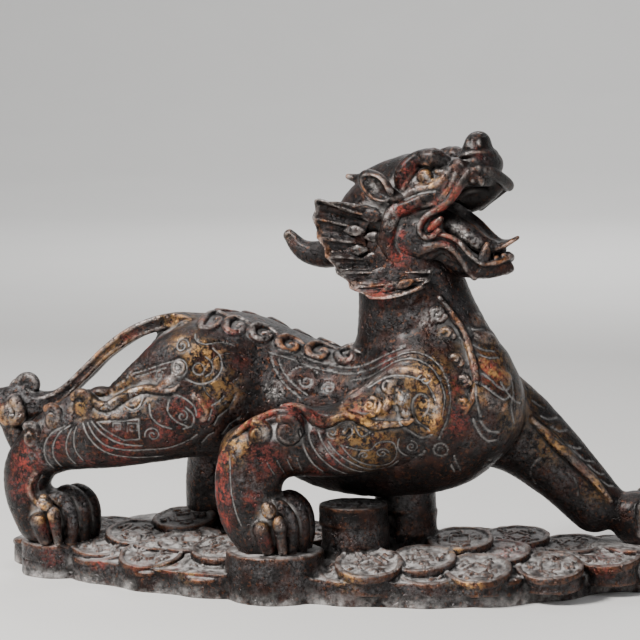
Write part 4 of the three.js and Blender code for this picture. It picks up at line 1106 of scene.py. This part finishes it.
def addCoin(bed, rng, x, y, top, turn=0.0, slopeX=0.0, slopeY=0.0, radius=None, bottom=None, rounded=0.7,
            blend=0.25, face=True):
    # A disc with rounded edges; with a bottom it goes straight down to that height
    radius = radius or coinBed["radius"]
    strokes = coinStrokes(rng, radius) if face else []
    c, s = math.cos(math.radians(turn)), math.sin(math.radians(turn))
    low = top - coinBed["thickness"] if bottom is None else bottom

    def disc(px, py, pz):
        dx, dy = px - x, py - y
        u, v = dx * c + dy * s, dy * c - dx * s
        lean = slopeX * dx + slopeY * dy
        up = pz - top - lean - (coinRelief(u, v, radius, strokes) if face else 0)
        down = low + (lean if bottom is None else 0) - pz
        wide = np.sqrt(dx * dx + dy * dy) - radius
        a, b = wide + rounded, np.maximum(up, down) + rounded
        outside = np.sqrt(np.maximum(a, 0) ** 2 + np.maximum(b, 0) ** 2)
        return outside + np.minimum(np.maximum(a, b), 0) - rounded

    reach = radius + 1.5
    lift = 1.5 + (abs(slopeX) + abs(slopeY)) * radius
    bed.addShape((x - reach, y - reach, low - lift), (x + reach, y + reach, top + lift), disc, blend)


def makeCoinBed():
    bed = Casting((-132, -49, -1.5), (132, 49, 40), step)
    rng = np.random.default_rng(coinBed["seed"])
    ring = closedCurve(coinBed["outline"], 240)
    runs = np.linalg.norm(np.diff(np.vstack([ring, ring[:1]]), axis=0), axis=1)
    lengths = np.concatenate([[0], np.cumsum(runs)])

    def edgePlace(share, inset):
        # A point on the outline moved inwards; the outline runs anticlockwise seen from above
        i = int(np.searchsorted(lengths, share % 1 * lengths[-1]) - 1) % len(ring)
        along = ring[(i + 1) % len(ring)] - ring[i - 1]
        along /= np.linalg.norm(along)
        return ring[i] + np.array([-along[1], along[0]]) * inset

    x, y, z = bed.axes
    flat = outlineDistance(x, y, ring).astype(np.float32)[:, :, None] + coinBed["wallInset"]
    up = (z - coinBed["slabTop"])[None, None, :]
    bed.merge((slice(None),) * 3, np.maximum(flat, up), 0.5)
    count = coinBed["edgeCoins"]
    for i in range(count):
        px, py = edgePlace((i + rng.uniform(-0.12, 0.12)) / count, coinBed["edgeInset"])
        out = np.array(edgePlace(i / count, 0)) - np.array(edgePlace(i / count, 6))
        slope = -rng.uniform(*coinBed["edgeSlope"]) * out / 6
        top, radius = rng.uniform(9.8, 12.0), 12.2 + rng.uniform(-0.6, 0.6)
        # each coin of the edge lies on a soft lump of the casting
        addCoin(bed, rng, px, py, top - 2.0, 0, *slope, radius=radius - 0.4, bottom=-1, rounded=1.4,
                blend=3.0, face=False)
        addCoin(bed, rng, px, py, top, rng.uniform(0, 90), *slope, radius=radius, rounded=0.9)
    for i in range(coinBed["innerCoins"]):
        px, py = edgePlace((i + 0.4) / coinBed["innerCoins"], coinBed["innerInset"])
        addCoin(bed, rng, px, py, rng.uniform(12.4, 14.6), rng.uniform(0, 90), rng.uniform(-0.04, 0.04),
                rng.uniform(-0.04, 0.04))
    for px, py, low, top, radius in coinBed["pedestals"]:
        addCoin(bed, rng, px, py, top, radius=radius, bottom=low - 1, rounded=1.1, blend=1.2, face=False)
    for coin in coinBed["looseCoins"]:
        addCoin(bed, rng, *coin)
        px, py, top = coin[:3]
        addCoin(bed, rng, px, py, top - 1.8, 0, *coin[4:], radius=11.2, bottom=4, blend=1.6, face=False)
    layers = coinBed["stackLayers"]
    for px, py, low, top, radius in coinBed["stacks"]:
        for k in range(layers):
            a, b = low + (top - low) * k / layers, low + (top - low) * (k + 1) / layers
            addCoin(bed, rng, px + 0.5 * math.sin(k * 2.1), py + 0.5 * math.cos(k * 1.7), b, k * 13,
                    radius=radius - 0.25 * (k % 2), bottom=a - 0.2, rounded=0.8, blend=0.9,
                    face=k == layers - 1)
    bed.roughen(6.0, 0.35, 5)
    bed.roughen(2.4, 0.18, 6)
    bed.value = np.maximum(bed.value, -z[None, None, :])  # flat underside
    bed.measureSkin()
    for points in ([(-121, 7), (-113, 7)], [(-120, 3.6), (-111, 3.8)], [(-110, 6.4), (-98, 5.8)],
                   [(-110, 3), (-100, 2.6), (-92, 1.6)], [(-94, 2.8), (-74, 2.4)], [(45, 4.4), (70, 4.6)]):
        bed.mark(bed.onSkin(curve2d(points), "right"), 0.6, -0.45)
    return bed


finish = {
    "deep": (0.003, 0.0025, 0.0025, 1),  # painted shade: near black for creases, hollows that face down, the mouth and under the belly
    "dark": (0.0065, 0.005, 0.005, 1),  # oiled bronze
    "brown": (0.038, 0.012, 0.007, 1),
    "rust": (0.17, 0.055, 0.018, 1),  # fine warm specks
    "film": (0.17, 0.162, 0.168, 1),  # thin grey bloom over the dark
    "dust": (0.54, 0.515, 0.50, 1),
    "silver": (0.40, 0.36, 0.34, 1),  # rubbed ridges, greyer on the head and redder near the gilding
    "copper": (0.44, 0.18, 0.07, 1),
    "rim": (0.24, 0.095, 0.045, 1),  # rubbed rims of the coins
    "lacquer": (0.27, 0.022, 0.010, 1),
    "paintedHighlightColour": (0.56, 0.53, 0.51, 1),  # painted highlight, laid on as the brightest rubbed places
    "gold": (0.78, 0.42, 0.13, 1),
    "footHeight": 5.0,  # mm, how far dust climbs the foot of the bed
    "dustScale": 260,  # 1/m
    # the pattern that breaks each layer up: scale in 1/m, detail, roughness
    "speckle": (900, 5.0, 0.7),
    "broad": (55.0, 6.0, 0.7),
    "browning": (150.0, 5.0, 0.65),
    "specks": (700.0, 4.0, 0.6),
    "settling": (210.0, 6.0, 0.7),
    "flakes": (420.0, 6.0, 0.75),
    "wear": (380.0, 6.0, 0.75),
    "fineWear": (1100.0, 3.0, 0.6),
    "paintedHighlightSpecks": (520.0, 5.0, 0.7),
    "rustAmount": 0.36,
    "coat": 0.1,
    "coatRoughness": 0.22,
    "grainStrength": 0.8,
    "grainHeight": 0.0006,  # m
}
# Where each layer of colour lies: x, y, z in mm, radius, strength
paintedSpots = {
    "gilding": [(-82, -26, 65, 5, 0.9), (-93, -25, 59, 3, 0.4), (-102, -24, 53, 3, 0.3),
                (-97, -24, 26, 5.5, 1.0), (-8, -44, 31, 4.5, 0.8), (-22, -40, 54, 7, 0.9),
                (-13, -41, 62, 5, 0.5), (25, -37, 62, 12, 0.9), (44, -26, 77, 10, 0.8), (46, -32, 66, 8, 1.0),
                (36, -30, 70, 7, 0.9), (66, -14, 82, 9, 0.7), (68, -10, 66, 9, 0.7), (-36, -26, 84, 8, 0.8),
                (-30, -26, 72, 8, 0.7), (-46, -20, 90, 6, 0.5), (60, -40, 10, 7, 1.0), (78, -36, 9, 5, 0.6),
                (43, -17, 147.6, 3.6, 1.0), (84, 8, 52, 8, 0.5), (100, 8, 36, 7, 0.6), (118, 5, 26, 6, 1.0),
                (-16, -1, 127, 5, 1.0), (10, -24, 137, 5, 0.8), (28, -38, 50, 10, 0.6),
                (-62, -26, 70, 8, 0.5), (-72, -26, 65, 6, 0.6), (-114, -17, 59, 6, 0.6),
                (-52, -4, 96, 7, 0.6), (-76, -8, 83, 9, 0.3), (10, -24, 80, 7, 0.5), (57, -20, 86, 6, 0.4),
                (59, -23, 74, 6, 0.5), (49, -18, 93, 3, 0.8), (52, -16, 17, 5, 0.7), (-48, -32, 9, 4, 0.6),
                (-38, -38, 8, 4, 0.5), (20, -42, 10, 5, 0.4)],
    "lacquer": [(-54, -10, 88, 5, 1.0), (-59, -13, 83, 5, 1.0), (-63, -14, 78, 4, 0.9),
                (-104, -25, 44, 7, 0.9), (-106, -22, 34, 6, 0.6), (-37, -25, 65, 5, 1.0),
                (-26, -40, 48, 6, 1.0), (-26, -40, 38, 6, 1.0), (-25, -40, 29, 5, 0.9),
                (-17, -40, 62, 4, 0.9), (-9, -40, 67, 4.5, 1.0), (0, -40, 69, 5, 0.8), (8, -38, 65, 5, 0.7),
                (52, -16, 141.5, 4.5, 1.0), (47.5, -16.5, 136.7, 4, 1.0), (44, -17, 130.4, 4, 1.0),
                (33, -17, 136, 3.4, 0.9), (31.5, -17, 126.4, 3.2, 1.0), (32.5, -17, 120, 4, 0.9),
                (37, -15.5, 138, 3.4, 0.9), (8, -24, 129, 4, 0.9), (14, -24, 121, 4, 1.0),
                (19, -23, 114, 4, 0.8), (26, -20, 107, 5, 0.8), (14, -20, 106, 5, 0.9),
                (36, -17, 150, 4, 0.7), (50, -18, 127, 4, 0.6), (72, -6, 126, 4, 0.9),
                (-58, -32, 10.5, 4, 0.9), (-96, -18, 8, 5, 0.9), (-76, -28, 9, 4, 0.9),
                (-36, -38, 11, 5, 0.9), (-46, -34, 10.5, 4, 0.9), (70, -8, 15, 6, 0.9), (96, 8, 44, 4, 0.6),
                (-10, -39, 50, 7, 0.5), (106, 6, 33, 4, 0.7), (62, -20, 93, 6, 0.7), (64, -18, 80, 7, 0.8),
                (54, -27, 64, 6, 0.7), (-68, -26, 50, 8, 0.6), (-50, -27, 57, 7, 0.4), (20, -34, 69, 5, 0.7),
                (-22, -24, 84, 6, 0.6), (-20, -20, 91, 4, 0.9), (-38, -12, 96, 5, 0.5), (14, -38, 52, 6, 0.5),
                (104, -6, 12, 5, 0.6), (-29, -14, 93, 3, 0.7), (-38, -12, 96, 3, 0.7), (-10, -16, 87, 3, 0.6),
                (1, -15, 85, 3, 0.6), (12, -15, 84, 3, 0.6), (-90, -24, 50, 5, 0.6), (-80, -26, 44, 4, 0.6),
                (-44, -27, 66, 4, 0.6), (30, -38, 58, 4, 0.6), (8, -36, 44, 5, 0.5), (-14, -42, 36, 4, 0.5),
                (-8, -42, 22, 4, 0.5), (-95, -24, 20, 4, 0.5), (54, -26, 76, 4, 0.6), (66, -14, 72, 5, 0.6),
                (20, -30, 76, 4, 0.5), (30, -24, 84, 4, 0.5), (34, -17, 146, 3, 0.6), (61, -12, 156, 3, 0.5),
                (16, -25, 132, 3, 0.7), (3, -26, 122, 3, 0.7), (80, 2, 58, 4, 0.5), (-118, -12, 62, 3, 0.6),
                (-70, -8, 88, 4, 0.4)],
    "bloom": [(10, -22, 128, 15, 0.6), (20, -20, 110, 9, 0.8), (40, -18, 124, 8, 0.45),
              (28, -18, 132, 4, 0.3), (38, -20, 103, 8, 0.7), (49, -18, 92, 6, 0.7), (55, -20, 80, 6, 0.7),
              (57, -23, 68, 5, 0.5), (-38, -12, 94, 6, 0.6), (-27, -14, 92, 6, 0.8), (-14, -15, 89, 6, 0.8),
              (-3, -15, 86, 6, 0.8), (8, -15, 84, 6, 1.0), (-12, -22, 76, 6, 1.0), (-30, -26, 79, 4, 0.9),
              (-49, -25, 75, 3.5, 1.0), (-92, -24, 62, 9, 1.0), (-98, -24, 46, 7, 0.9),
              (-87, -26, 63, 3, 1.0), (-98, -25, 58, 3, 1.0), (-95, -26, 24, 7, 0.9), (-86, -20, 20, 6, 0.9),
              (-112, -8, 62, 12, 1.0), (-88, -20, 28, 9, 1.0), (4, -38, 32, 9, 1.0), (-14, -42, 42, 9, 0.6),
              (-7, -42, 60, 5, 0.9), (24, -38, 70, 4, 0.8), (16, -40, 55, 6, 0.7), (74, 6, 52, 8, 0.5),
              (86, 8, 42, 8, 0.7), (118, 10, 24, 8, 0.6), (-48, 14, 38, 12, 0.6), (48, -12, 152, 6, 0.6),
              (46, -14, 116, 6, 0.4), (-68, -26, 60, 6, 0.5)],
    # painted highlights where the strongest glints fall, as bright rubbed metal
    "paintedHighlight": [(-46, -26, 79.4, 2.6, 1.0), (-49.5, -27, 75, 3, 0.9), (-12, -20, 71.5, 4, 0.7),
               (36, -32, 72, 3.4, 1.0), (37.5, -32, 67.5, 2.6, 1.0), (48, -32, 68, 2.6, 0.7),
               (30, -36, 62.9, 3, 0.8), (-62, -25, 70, 3, 0.8), (43, -19, 98, 3.6, 0.6),
               (46.4, -20, 100, 2.4, 0.9), (50, -22, 93.4, 2.4, 0.9), (57, -24, 78, 2, 0.9),
               (29.4, -16.6, 132.5, 2.8, 1.0), (30, -16.6, 136, 2.2, 0.9), (51.3, -12.7, 130, 3.2, 0.8),
               (58.5, -13.8, 124, 3, 0.8), (55, -13.4, 127, 3, 0.8), (23, -17, 144.5, 2.6, 0.7),
               (43, -17.6, 147.8, 2.2, 1.0), (57.6, -11.8, 150, 2.4, 0.8), (18, -23, 118, 6, 0.5),
               (8, -24, 124, 6, 0.5), (-97, -25, 27, 3, 0.7), (-8, -44, 32, 2.6, 0.7),
               (-112, -14, 60, 4, 0.6), (-70, -26, 65.5, 3, 0.7), (-20, -41, 53, 2.4, 0.6),
               (-10, -42, 60, 2.2, 0.5), (58, -40, 10.5, 4, 0.6), (12, -40, 54, 3, 0.5)],
    "shade": [(60, -8, 140, 9, 1.0), (56, -6, 138, 8, 1.0), (48, -8, 133, 6, 0.9), (60, -4, 144, 7, 1.0),
              (66, -8, 147, 6, 0.8), (20, -10, 34, 16, 0.8), (0, -10, 40, 14, 0.6)],
}


def paintSpots(piece):
    # Stores how much of each layer every point of a piece carries
    places = np.empty(len(piece.data.vertices) * 3, np.float32)
    piece.data.vertices.foreach_get("co", places)
    places = places.reshape(-1, 3) * 1000
    for key, spots in paintedSpots.items():
        total = np.zeros(len(places), np.float32)
        for x, y, z, radius, strength in spots:
            # the left side is painted alike, in softer spots
            for across, spread, share in ((y, 1, 1), (-0.8 * y, 1.3, 0.7)):
                middle = np.array([x, across, z], np.float32)
                gap = np.linalg.norm(places - middle, axis=1) / (radius * spread)
                total = np.maximum(total, strength * share * np.clip(1.25 - gap, 0, 1))
        piece.data.attributes.new(key, "FLOAT", "POINT").data.foreach_set("value", total)
    foot = np.clip(1 - places[:, 2] / finish["footHeight"], 0, 1).astype(np.float32)
    piece.data.attributes.new("foot", "FLOAT", "POINT").data.foreach_set("value", foot)


def addNode(tree, kind, inputs=None, **settings):
    node = tree.nodes.new(kind)
    for key, value in settings.items():
        setattr(node, key, value)
    for key, value in (inputs or {}).items():
        if isinstance(value, bpy.types.NodeSocket):
            tree.links.new(value, node.inputs[key])
        else:
            node.inputs[key].default_value = value
    return node


def newGroup(name, inputs, outputs):
    tree = bpy.data.node_groups.new(name, "ShaderNodeTree")
    for key, kind, value in inputs:
        socket = tree.interface.new_socket(key, in_out="INPUT", socket_type=kind)
        socket.default_value = value
    for key, kind in outputs:
        tree.interface.new_socket(key, in_out="OUTPUT", socket_type=kind)
    return tree, tree.nodes.new("NodeGroupInput"), tree.nodes.new("NodeGroupOutput")


def remap(tree, value, low, high, outLow=0.0, outHigh=1.0):
    node = addNode(tree, "ShaderNodeMapRange", {0: value, 1: low, 2: high, 3: outLow, 4: outHigh}, clamp=True)
    return node.outputs[0]


def maths(tree, operation, *values):
    node = addNode(tree, "ShaderNodeMath", dict(enumerate(values)), operation=operation, use_clamp=True)
    return node.outputs[0]


def noise(tree, scale, detail=4.0, rough=0.6):
    where = addNode(tree, "ShaderNodeTexCoord").outputs["Object"]
    inputs = {"Vector": where, "Scale": scale, "Detail": detail, "Roughness": rough}
    return addNode(tree, "ShaderNodeTexNoise", inputs).outputs[0]


def pattern(tree, key, *limits):
    # One of the patterns of the finish, spread between limits
    return remap(tree, noise(tree, *finish[key]), *limits)


def readMasks(tree, *names):
    return [addNode(tree, "ShaderNodeAttribute", attribute_name=name).outputs["Fac"] for name in names]


def upwardness(tree):
    normal = addNode(tree, "ShaderNodeNewGeometry").outputs["Normal"]
    return addNode(tree, "ShaderNodeSeparateXYZ", {0: normal}).outputs["Z"]


def makeDustGroup():
    # Pale dust: in engraved lines, in hollows that don't face down, and thin and broken where it lies on top
    tree, given, made = newGroup("dustInRecesses", [
        ("Amount", "NodeSocketFloat", 1.0), ("On Top", "NodeSocketFloat", 0.3),
        ("Scale", "NodeSocketFloat", 260.0)], [("Mask", "NodeSocketFloat")])
    hollow, groove, edge, foot = readMasks(tree, "hollow", "grooveLine", "edge", "foot")
    upward = upwardness(tree)
    patches = remap(tree, noise(tree, given.outputs["Scale"]), 0.34, 0.6, 0.15, 1.0)
    lines = maths(tree, "MULTIPLY", groove, remap(tree, noise(tree, 700.0), 0.3, 0.55, 0.45, 1.0))
    top = maths(tree, "MULTIPLY", maths(tree, "MULTIPLY", remap(tree, upward, 0.45, 0.85),
                                        given.outputs["On Top"]),
                remap(tree, edge, 0.6, 0.0, 0.45, 1.0))
    low = maths(tree, "MULTIPLY", remap(tree, hollow, 0.12, 0.6, 0.0, 0.75), remap(tree, upward, -0.3, 0.2))
    splashed = maths(tree, "MULTIPLY", foot, remap(tree, noise(tree, 120.0, 6.0, 0.7), 0.4, 0.6))
    low = maths(tree, "MAXIMUM", low, splashed)
    dust = maths(tree, "MAXIMUM", maths(tree, "MULTIPLY", maths(tree, "MAXIMUM", low, top), patches), lines)
    tree.links.new(maths(tree, "MULTIPLY", dust, given.outputs["Amount"]), made.inputs["Mask"])
    return tree


def makePaintedShadeGroup():
    # Painted shade: black where forms meet, in hollows that face down, and in the mouth and under the belly
    tree, given, made = newGroup("paintedShadeInCreases", [("Amount", "NodeSocketFloat", 1.0)],
                                 [("Mask", "NodeSocketFloat")])
    edge, hollow, shade = readMasks(tree, "edge", "hollow", "shade")
    # painted shade in hollows that face down
    under = maths(tree, "MULTIPLY", remap(tree, hollow, 0.1, 0.6), remap(tree, upwardness(tree), 0.1, -0.4))
    deep = maths(tree, "MAXIMUM", maths(tree, "MAXIMUM", remap(tree, edge, -0.14, -0.42), under), shade)
    tree.links.new(maths(tree, "MULTIPLY", deep, given.outputs["Amount"]), made.inputs["Mask"])
    return tree


def makeRubGroup():
    # Where hands have rubbed the metal: ridges, raised lines and curls, broken into specks
    tree, given, made = newGroup("rubbedRidges", [
        ("Amount", "NodeSocketFloat", 1.0), ("Scale", "NodeSocketFloat", 500.0)],
        [("Mask", "NodeSocketFloat")])
    edge, raised, foot = readMasks(tree, "edge", "raisedLine", "foot")
    specks = remap(tree, noise(tree, given.outputs["Scale"], 6.0, 0.7), 0.38, 0.6)
    rub = maths(tree, "MAXIMUM", remap(tree, edge, 0.24, 0.7), maths(tree, "MULTIPLY", raised, 0.5))
    rub = maths(tree, "MULTIPLY", maths(tree, "SUBTRACT", rub, foot), specks)
    tree.links.new(maths(tree, "MULTIPLY", rub, given.outputs["Amount"]), made.inputs["Mask"])
    return tree


def makeSkinGroup():
    # The cast skin: fine grain, and scattered pits
    tree, given, made = newGroup("castSkin", [
        ("Grain", "NodeSocketFloat", 1.0), ("Pits", "NodeSocketFloat", 1.0)], [("Height", "NodeSocketFloat")])
    grain = maths(tree, "MULTIPLY", noise(tree, 1200.0, 4.0, 0.7), given.outputs["Grain"])
    pits = remap(tree, noise(tree, 420.0, 2.0), 0.30, 0.42)
    swell = noise(tree, 90.0, 3.0)
    deep = maths(tree, "MULTIPLY", pits, given.outputs["Pits"])
    total = addNode(tree, "ShaderNodeMath", {0: maths(tree, "MULTIPLY", grain, 0.7), 1: deep},
                    operation="ADD")
    total = addNode(tree, "ShaderNodeMath", {0: total.outputs[0], 1: swell}, operation="ADD")
    tree.links.new(total.outputs[0], made.inputs["Height"])
    return tree


def mixColour(tree, share, a, b):
    node = addNode(tree, "ShaderNodeMix", data_type="RGBA", clamp_factor=True)
    for slot, value in ((0, share), (6, a), (7, b)):
        if isinstance(value, bpy.types.NodeSocket):
            tree.links.new(value, node.inputs[slot])
        else:
            node.inputs[slot].default_value = value
    return node.outputs[2]


groups = {"dust": makeDustGroup(), "creases": makePaintedShadeGroup(), "rub": makeRubGroup(),
          "skin": makeSkinGroup()}


def placeGroup(tree, key, **values):
    node = tree.nodes.new("ShaderNodeGroup")
    node.node_tree = groups[key]
    for name, value in values.items():
        node.inputs[name.replace("_", " ")].default_value = value
    return node.outputs[0]


def bronzeMaterial(name, dustAmount, dustOnTop, rubAmount, film, paintedShadeAmount=0.92, rims=False):
    material = bpy.data.materials.new(name)
    material.use_nodes = True
    tree = material.node_tree
    shader = tree.nodes["Principled BSDF"]
    dust = placeGroup(tree, "dust", Amount=dustAmount, On_Top=dustOnTop, Scale=finish["dustScale"])
    rub = placeGroup(tree, "rub", Amount=rubAmount)
    creases = placeGroup(tree, "creases", Amount=paintedShadeAmount)
    skin = placeGroup(tree, "skin")
    gilding, lacquer, bloom, paintedHighlight = readMasks(tree, "gilding", "lacquer", "bloom", "paintedHighlight")
    speckle = noise(tree, *finish["speckle"])
    broad = noise(tree, *finish["broad"])
    # bronze, browned in patches and specked with rust
    colour = mixColour(tree, pattern(tree, "browning", 0.48, 0.7), finish["dark"], finish["brown"])
    specks = maths(tree, "MULTIPLY", pattern(tree, "specks", 0.57, 0.64), finish["rustAmount"])
    colour = mixColour(tree, specks, colour, finish["rust"])
    # the grey film, thicker where bloom has settled
    haze = maths(tree, "MULTIPLY", remap(tree, broad, 0.42, 0.66), film)
    settled = maths(tree, "MULTIPLY", bloom, pattern(tree, "settling", 0.42, 0.58, 0.05, 0.8))
    filmMask = maths(tree, "MAXIMUM", haze, settled)
    filmMask = maths(tree, "MULTIPLY", filmMask, remap(tree, speckle, 0.4, 0.6, 0.05, 1.0))
    colour = mixColour(tree, filmMask, colour, finish["film"])
    # rubbed ridges, warmer near the gilding and the lacquer
    warm = maths(tree, "MAXIMUM", remap(tree, broad, 0.5, 0.6), maths(tree, "ADD", gilding, lacquer))
    bare = mixColour(tree, warm, finish["silver"], finish["copper"])
    colour = mixColour(tree, maths(tree, "MULTIPLY", rub, 0.8), colour, finish["rim"] if rims else bare)
    # gilding in flakes, worn lacquer and painted highlights on the brightest rubbed places
    flakes = maths(tree, "MULTIPLY", pattern(tree, "flakes", 0.47, 0.57),
                   remap(tree, rub, 0.0, 0.3, 0.4, 1.0))
    goldMask = maths(tree, "MULTIPLY", gilding, flakes)
    colour = mixColour(tree, goldMask, colour, finish["gold"])
    worn = pattern(tree, "wear", 0.455, 0.545)
    worn = maths(tree, "MULTIPLY", worn, pattern(tree, "fineWear", 0.38, 0.54, 0.15, 1.0))
    redMask = maths(tree, "MULTIPLY", lacquer, worn)
    colour = mixColour(tree, redMask, colour, finish["lacquer"])
    # painted highlight, broken into specks
    paintedHighlightMask = maths(tree, "MULTIPLY", paintedHighlight, pattern(tree, "paintedHighlightSpecks", 0.43, 0.6, 0.0, 0.9))
    colour = mixColour(tree, paintedHighlightMask, colour, finish["paintedHighlightColour"])
    # painted shade: creases, down-facing hollows, the mouth and under the belly go near black
    colour = mixColour(tree, creases, colour, finish["deep"])
    colour = mixColour(tree, dust, colour, finish["dust"])
    tree.links.new(colour, shader.inputs["Base Color"])
    # dust, film and lacquer are matt and don't look like metal
    matt = maths(tree, "MAXIMUM", dust, maths(tree, "MAXIMUM", filmMask, redMask))
    matt = maths(tree, "SUBTRACT", matt, paintedHighlightMask)
    tree.links.new(remap(tree, matt, 0.0, 0.8, 0.8, 0.0), shader.inputs["Metallic"])
    roughness = maths(tree, "MULTIPLY", matt, 0.5)
    roughness = maths(tree, "ADD", remap(tree, speckle, 0.35, 0.65, 0.26, 0.44), roughness)
    roughness = maths(tree, "SUBTRACT", roughness, maths(tree, "MULTIPLY", goldMask, 0.06))
    tree.links.new(roughness, shader.inputs["Roughness"])
    grain = {"Strength": finish["grainStrength"], "Distance": finish["grainHeight"], "Height": skin}
    tree.links.new(addNode(tree, "ShaderNodeBump", grain).outputs["Normal"], shader.inputs["Normal"])
    shader.inputs["Coat Weight"].default_value = finish["coat"]
    shader.inputs["Coat Roughness"].default_value = finish["coatRoughness"]
    return material


pieces = {}
for name, make in (("beast_body", makeBody), ("right_hind_leg", makeHindLeg), ("right_fore_leg", makeForeLeg),
                   ("beast_head", makeHead), ("coin_bed", makeCoinBed)):
    pieces[name] = make().cast(name, sculpting["triangles"])
figureBronze = bronzeMaterial("waxed bronze of the beast", dustAmount=0.8, dustOnTop=0.05, rubAmount=1.0,
                              film=0.26)
bedBronze = bronzeMaterial("dusty bronze of the coins", dustAmount=0.76, dustOnTop=1.0, rubAmount=0.6,
                           film=0.5, paintedShadeAmount=0.8, rims=True)
for name, piece in pieces.items():
    paintSpots(piece)
    piece.data.materials.append(bedBronze if name == "coin_bed" else figureBronze)
    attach(piece, "root")
    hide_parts("beast_on_coins")

studio = {
    "floorColour": (0.78, 0.77, 0.75, 1),
    "floorShade": (0.74, 0.73, 0.715, 1),
    # reach and height of the rings of the floor, which rises far away into a soft backdrop
    "floorRings": [(1.0, 0), (2.2, 0), (2.6, 0.04), (3.0, 0.16), (3.4, 0.42), (3.7, 0.8), (3.9, 1.5)],
    "floorSides": 96,
    "camera": (0.19734, -0.82199, 0.18385),
    "aim": (0, 0, 0.095),
    "lens": 132.8,
    "sensor": 36,
    # place, target, size, watts, colour; the last one lights the backdrop
    "lights": [((-0.55, -0.62, 0.9), (0, 0, 0.09), 0.32, 27, (1.0, 0.98, 0.95)),
               ((0.8, -0.5, 0.5), (0, 0, 0.09), 0.3, 1.6, (0.95, 0.97, 1.0)),
               ((-0.1, 0.75, 0.8), (0, 0, 0.09), 0.5, 2.4, (1, 1, 1)),
               ((0, 1.1, 1.3), (0, 3.7, 0.5), 1.0, 40, (1, 1, 1))],
    "world": 0.3,
    "worldColour": (0.9, 0.92, 0.95, 1),
}


def makeFloor():
    rings, around = studio["floorRings"], studio["floorSides"]
    points = [(0, 0, 0)]
    faces = []
    for r, z in rings:
        angles = np.linspace(0, 2 * math.pi, around, endpoint=False)
        points += [(r * math.cos(a), r * math.sin(a), z) for a in angles]
    for i in range(around):
        j = (i + 1) % around
        faces.append((0, 1 + i, 1 + j))
        for k in range(len(rings) - 1):
            a = 1 + k * around
            faces.append((a + i, a + around + i, a + around + j, a + j))
    mesh = bpy.data.meshes.new("studio_floor")
    mesh.from_pydata(points, [], faces)
    mesh.polygons.foreach_set("use_smooth", np.ones(len(mesh.polygons), bool))
    floor = bpy.data.objects.new("studio_floor", mesh)
    bpy.context.collection.objects.link(floor)
    material = bpy.data.materials.new("pale floor")
    material.use_nodes = True
    tree = material.node_tree
    shader = tree.nodes["Principled BSDF"]
    shader.inputs["Roughness"].default_value = 0.7
    tint = mixColour(tree, noise(tree, 8.0), studio["floorColour"], studio["floorShade"])
    tree.links.new(tint, shader.inputs["Base Color"])
    mesh.materials.append(material)
    return floor


def aimAt(thing, target):
    thing.rotation_euler = (Vector(target) - thing.location).to_track_quat("-Z", "Y").to_euler()


makeFloor()
for i, (place, target, size, watts, colour) in enumerate(studio["lights"]):
    data = bpy.data.lights.new(f"softbox_{i}", "AREA")
    data.size, data.energy, data.color = size, watts, colour
    lamp = bpy.data.objects.new(f"softbox_{i}", data)
    lamp.location = place
    bpy.context.collection.objects.link(lamp)
    aimAt(lamp, target)
world = bpy.data.worlds.new("studio")
world.use_nodes = True
sky = world.node_tree.nodes["Background"].inputs
sky["Color"].default_value = studio["worldColour"]
sky["Strength"].default_value = studio["world"]
bpy.context.scene.world = world

lensData = bpy.data.cameras.new("photo_camera")
lensData.lens, lensData.sensor_width = studio["lens"], studio["sensor"]
lensData.clip_start, lensData.clip_end = 0.05, 20
camera = bpy.data.objects.new("photo_camera", lensData)
camera.location = studio["camera"]
bpy.context.collection.objects.link(camera)
aimAt(camera, studio["aim"])
bpy.context.scene.camera = camera
print("stage and camera ready")
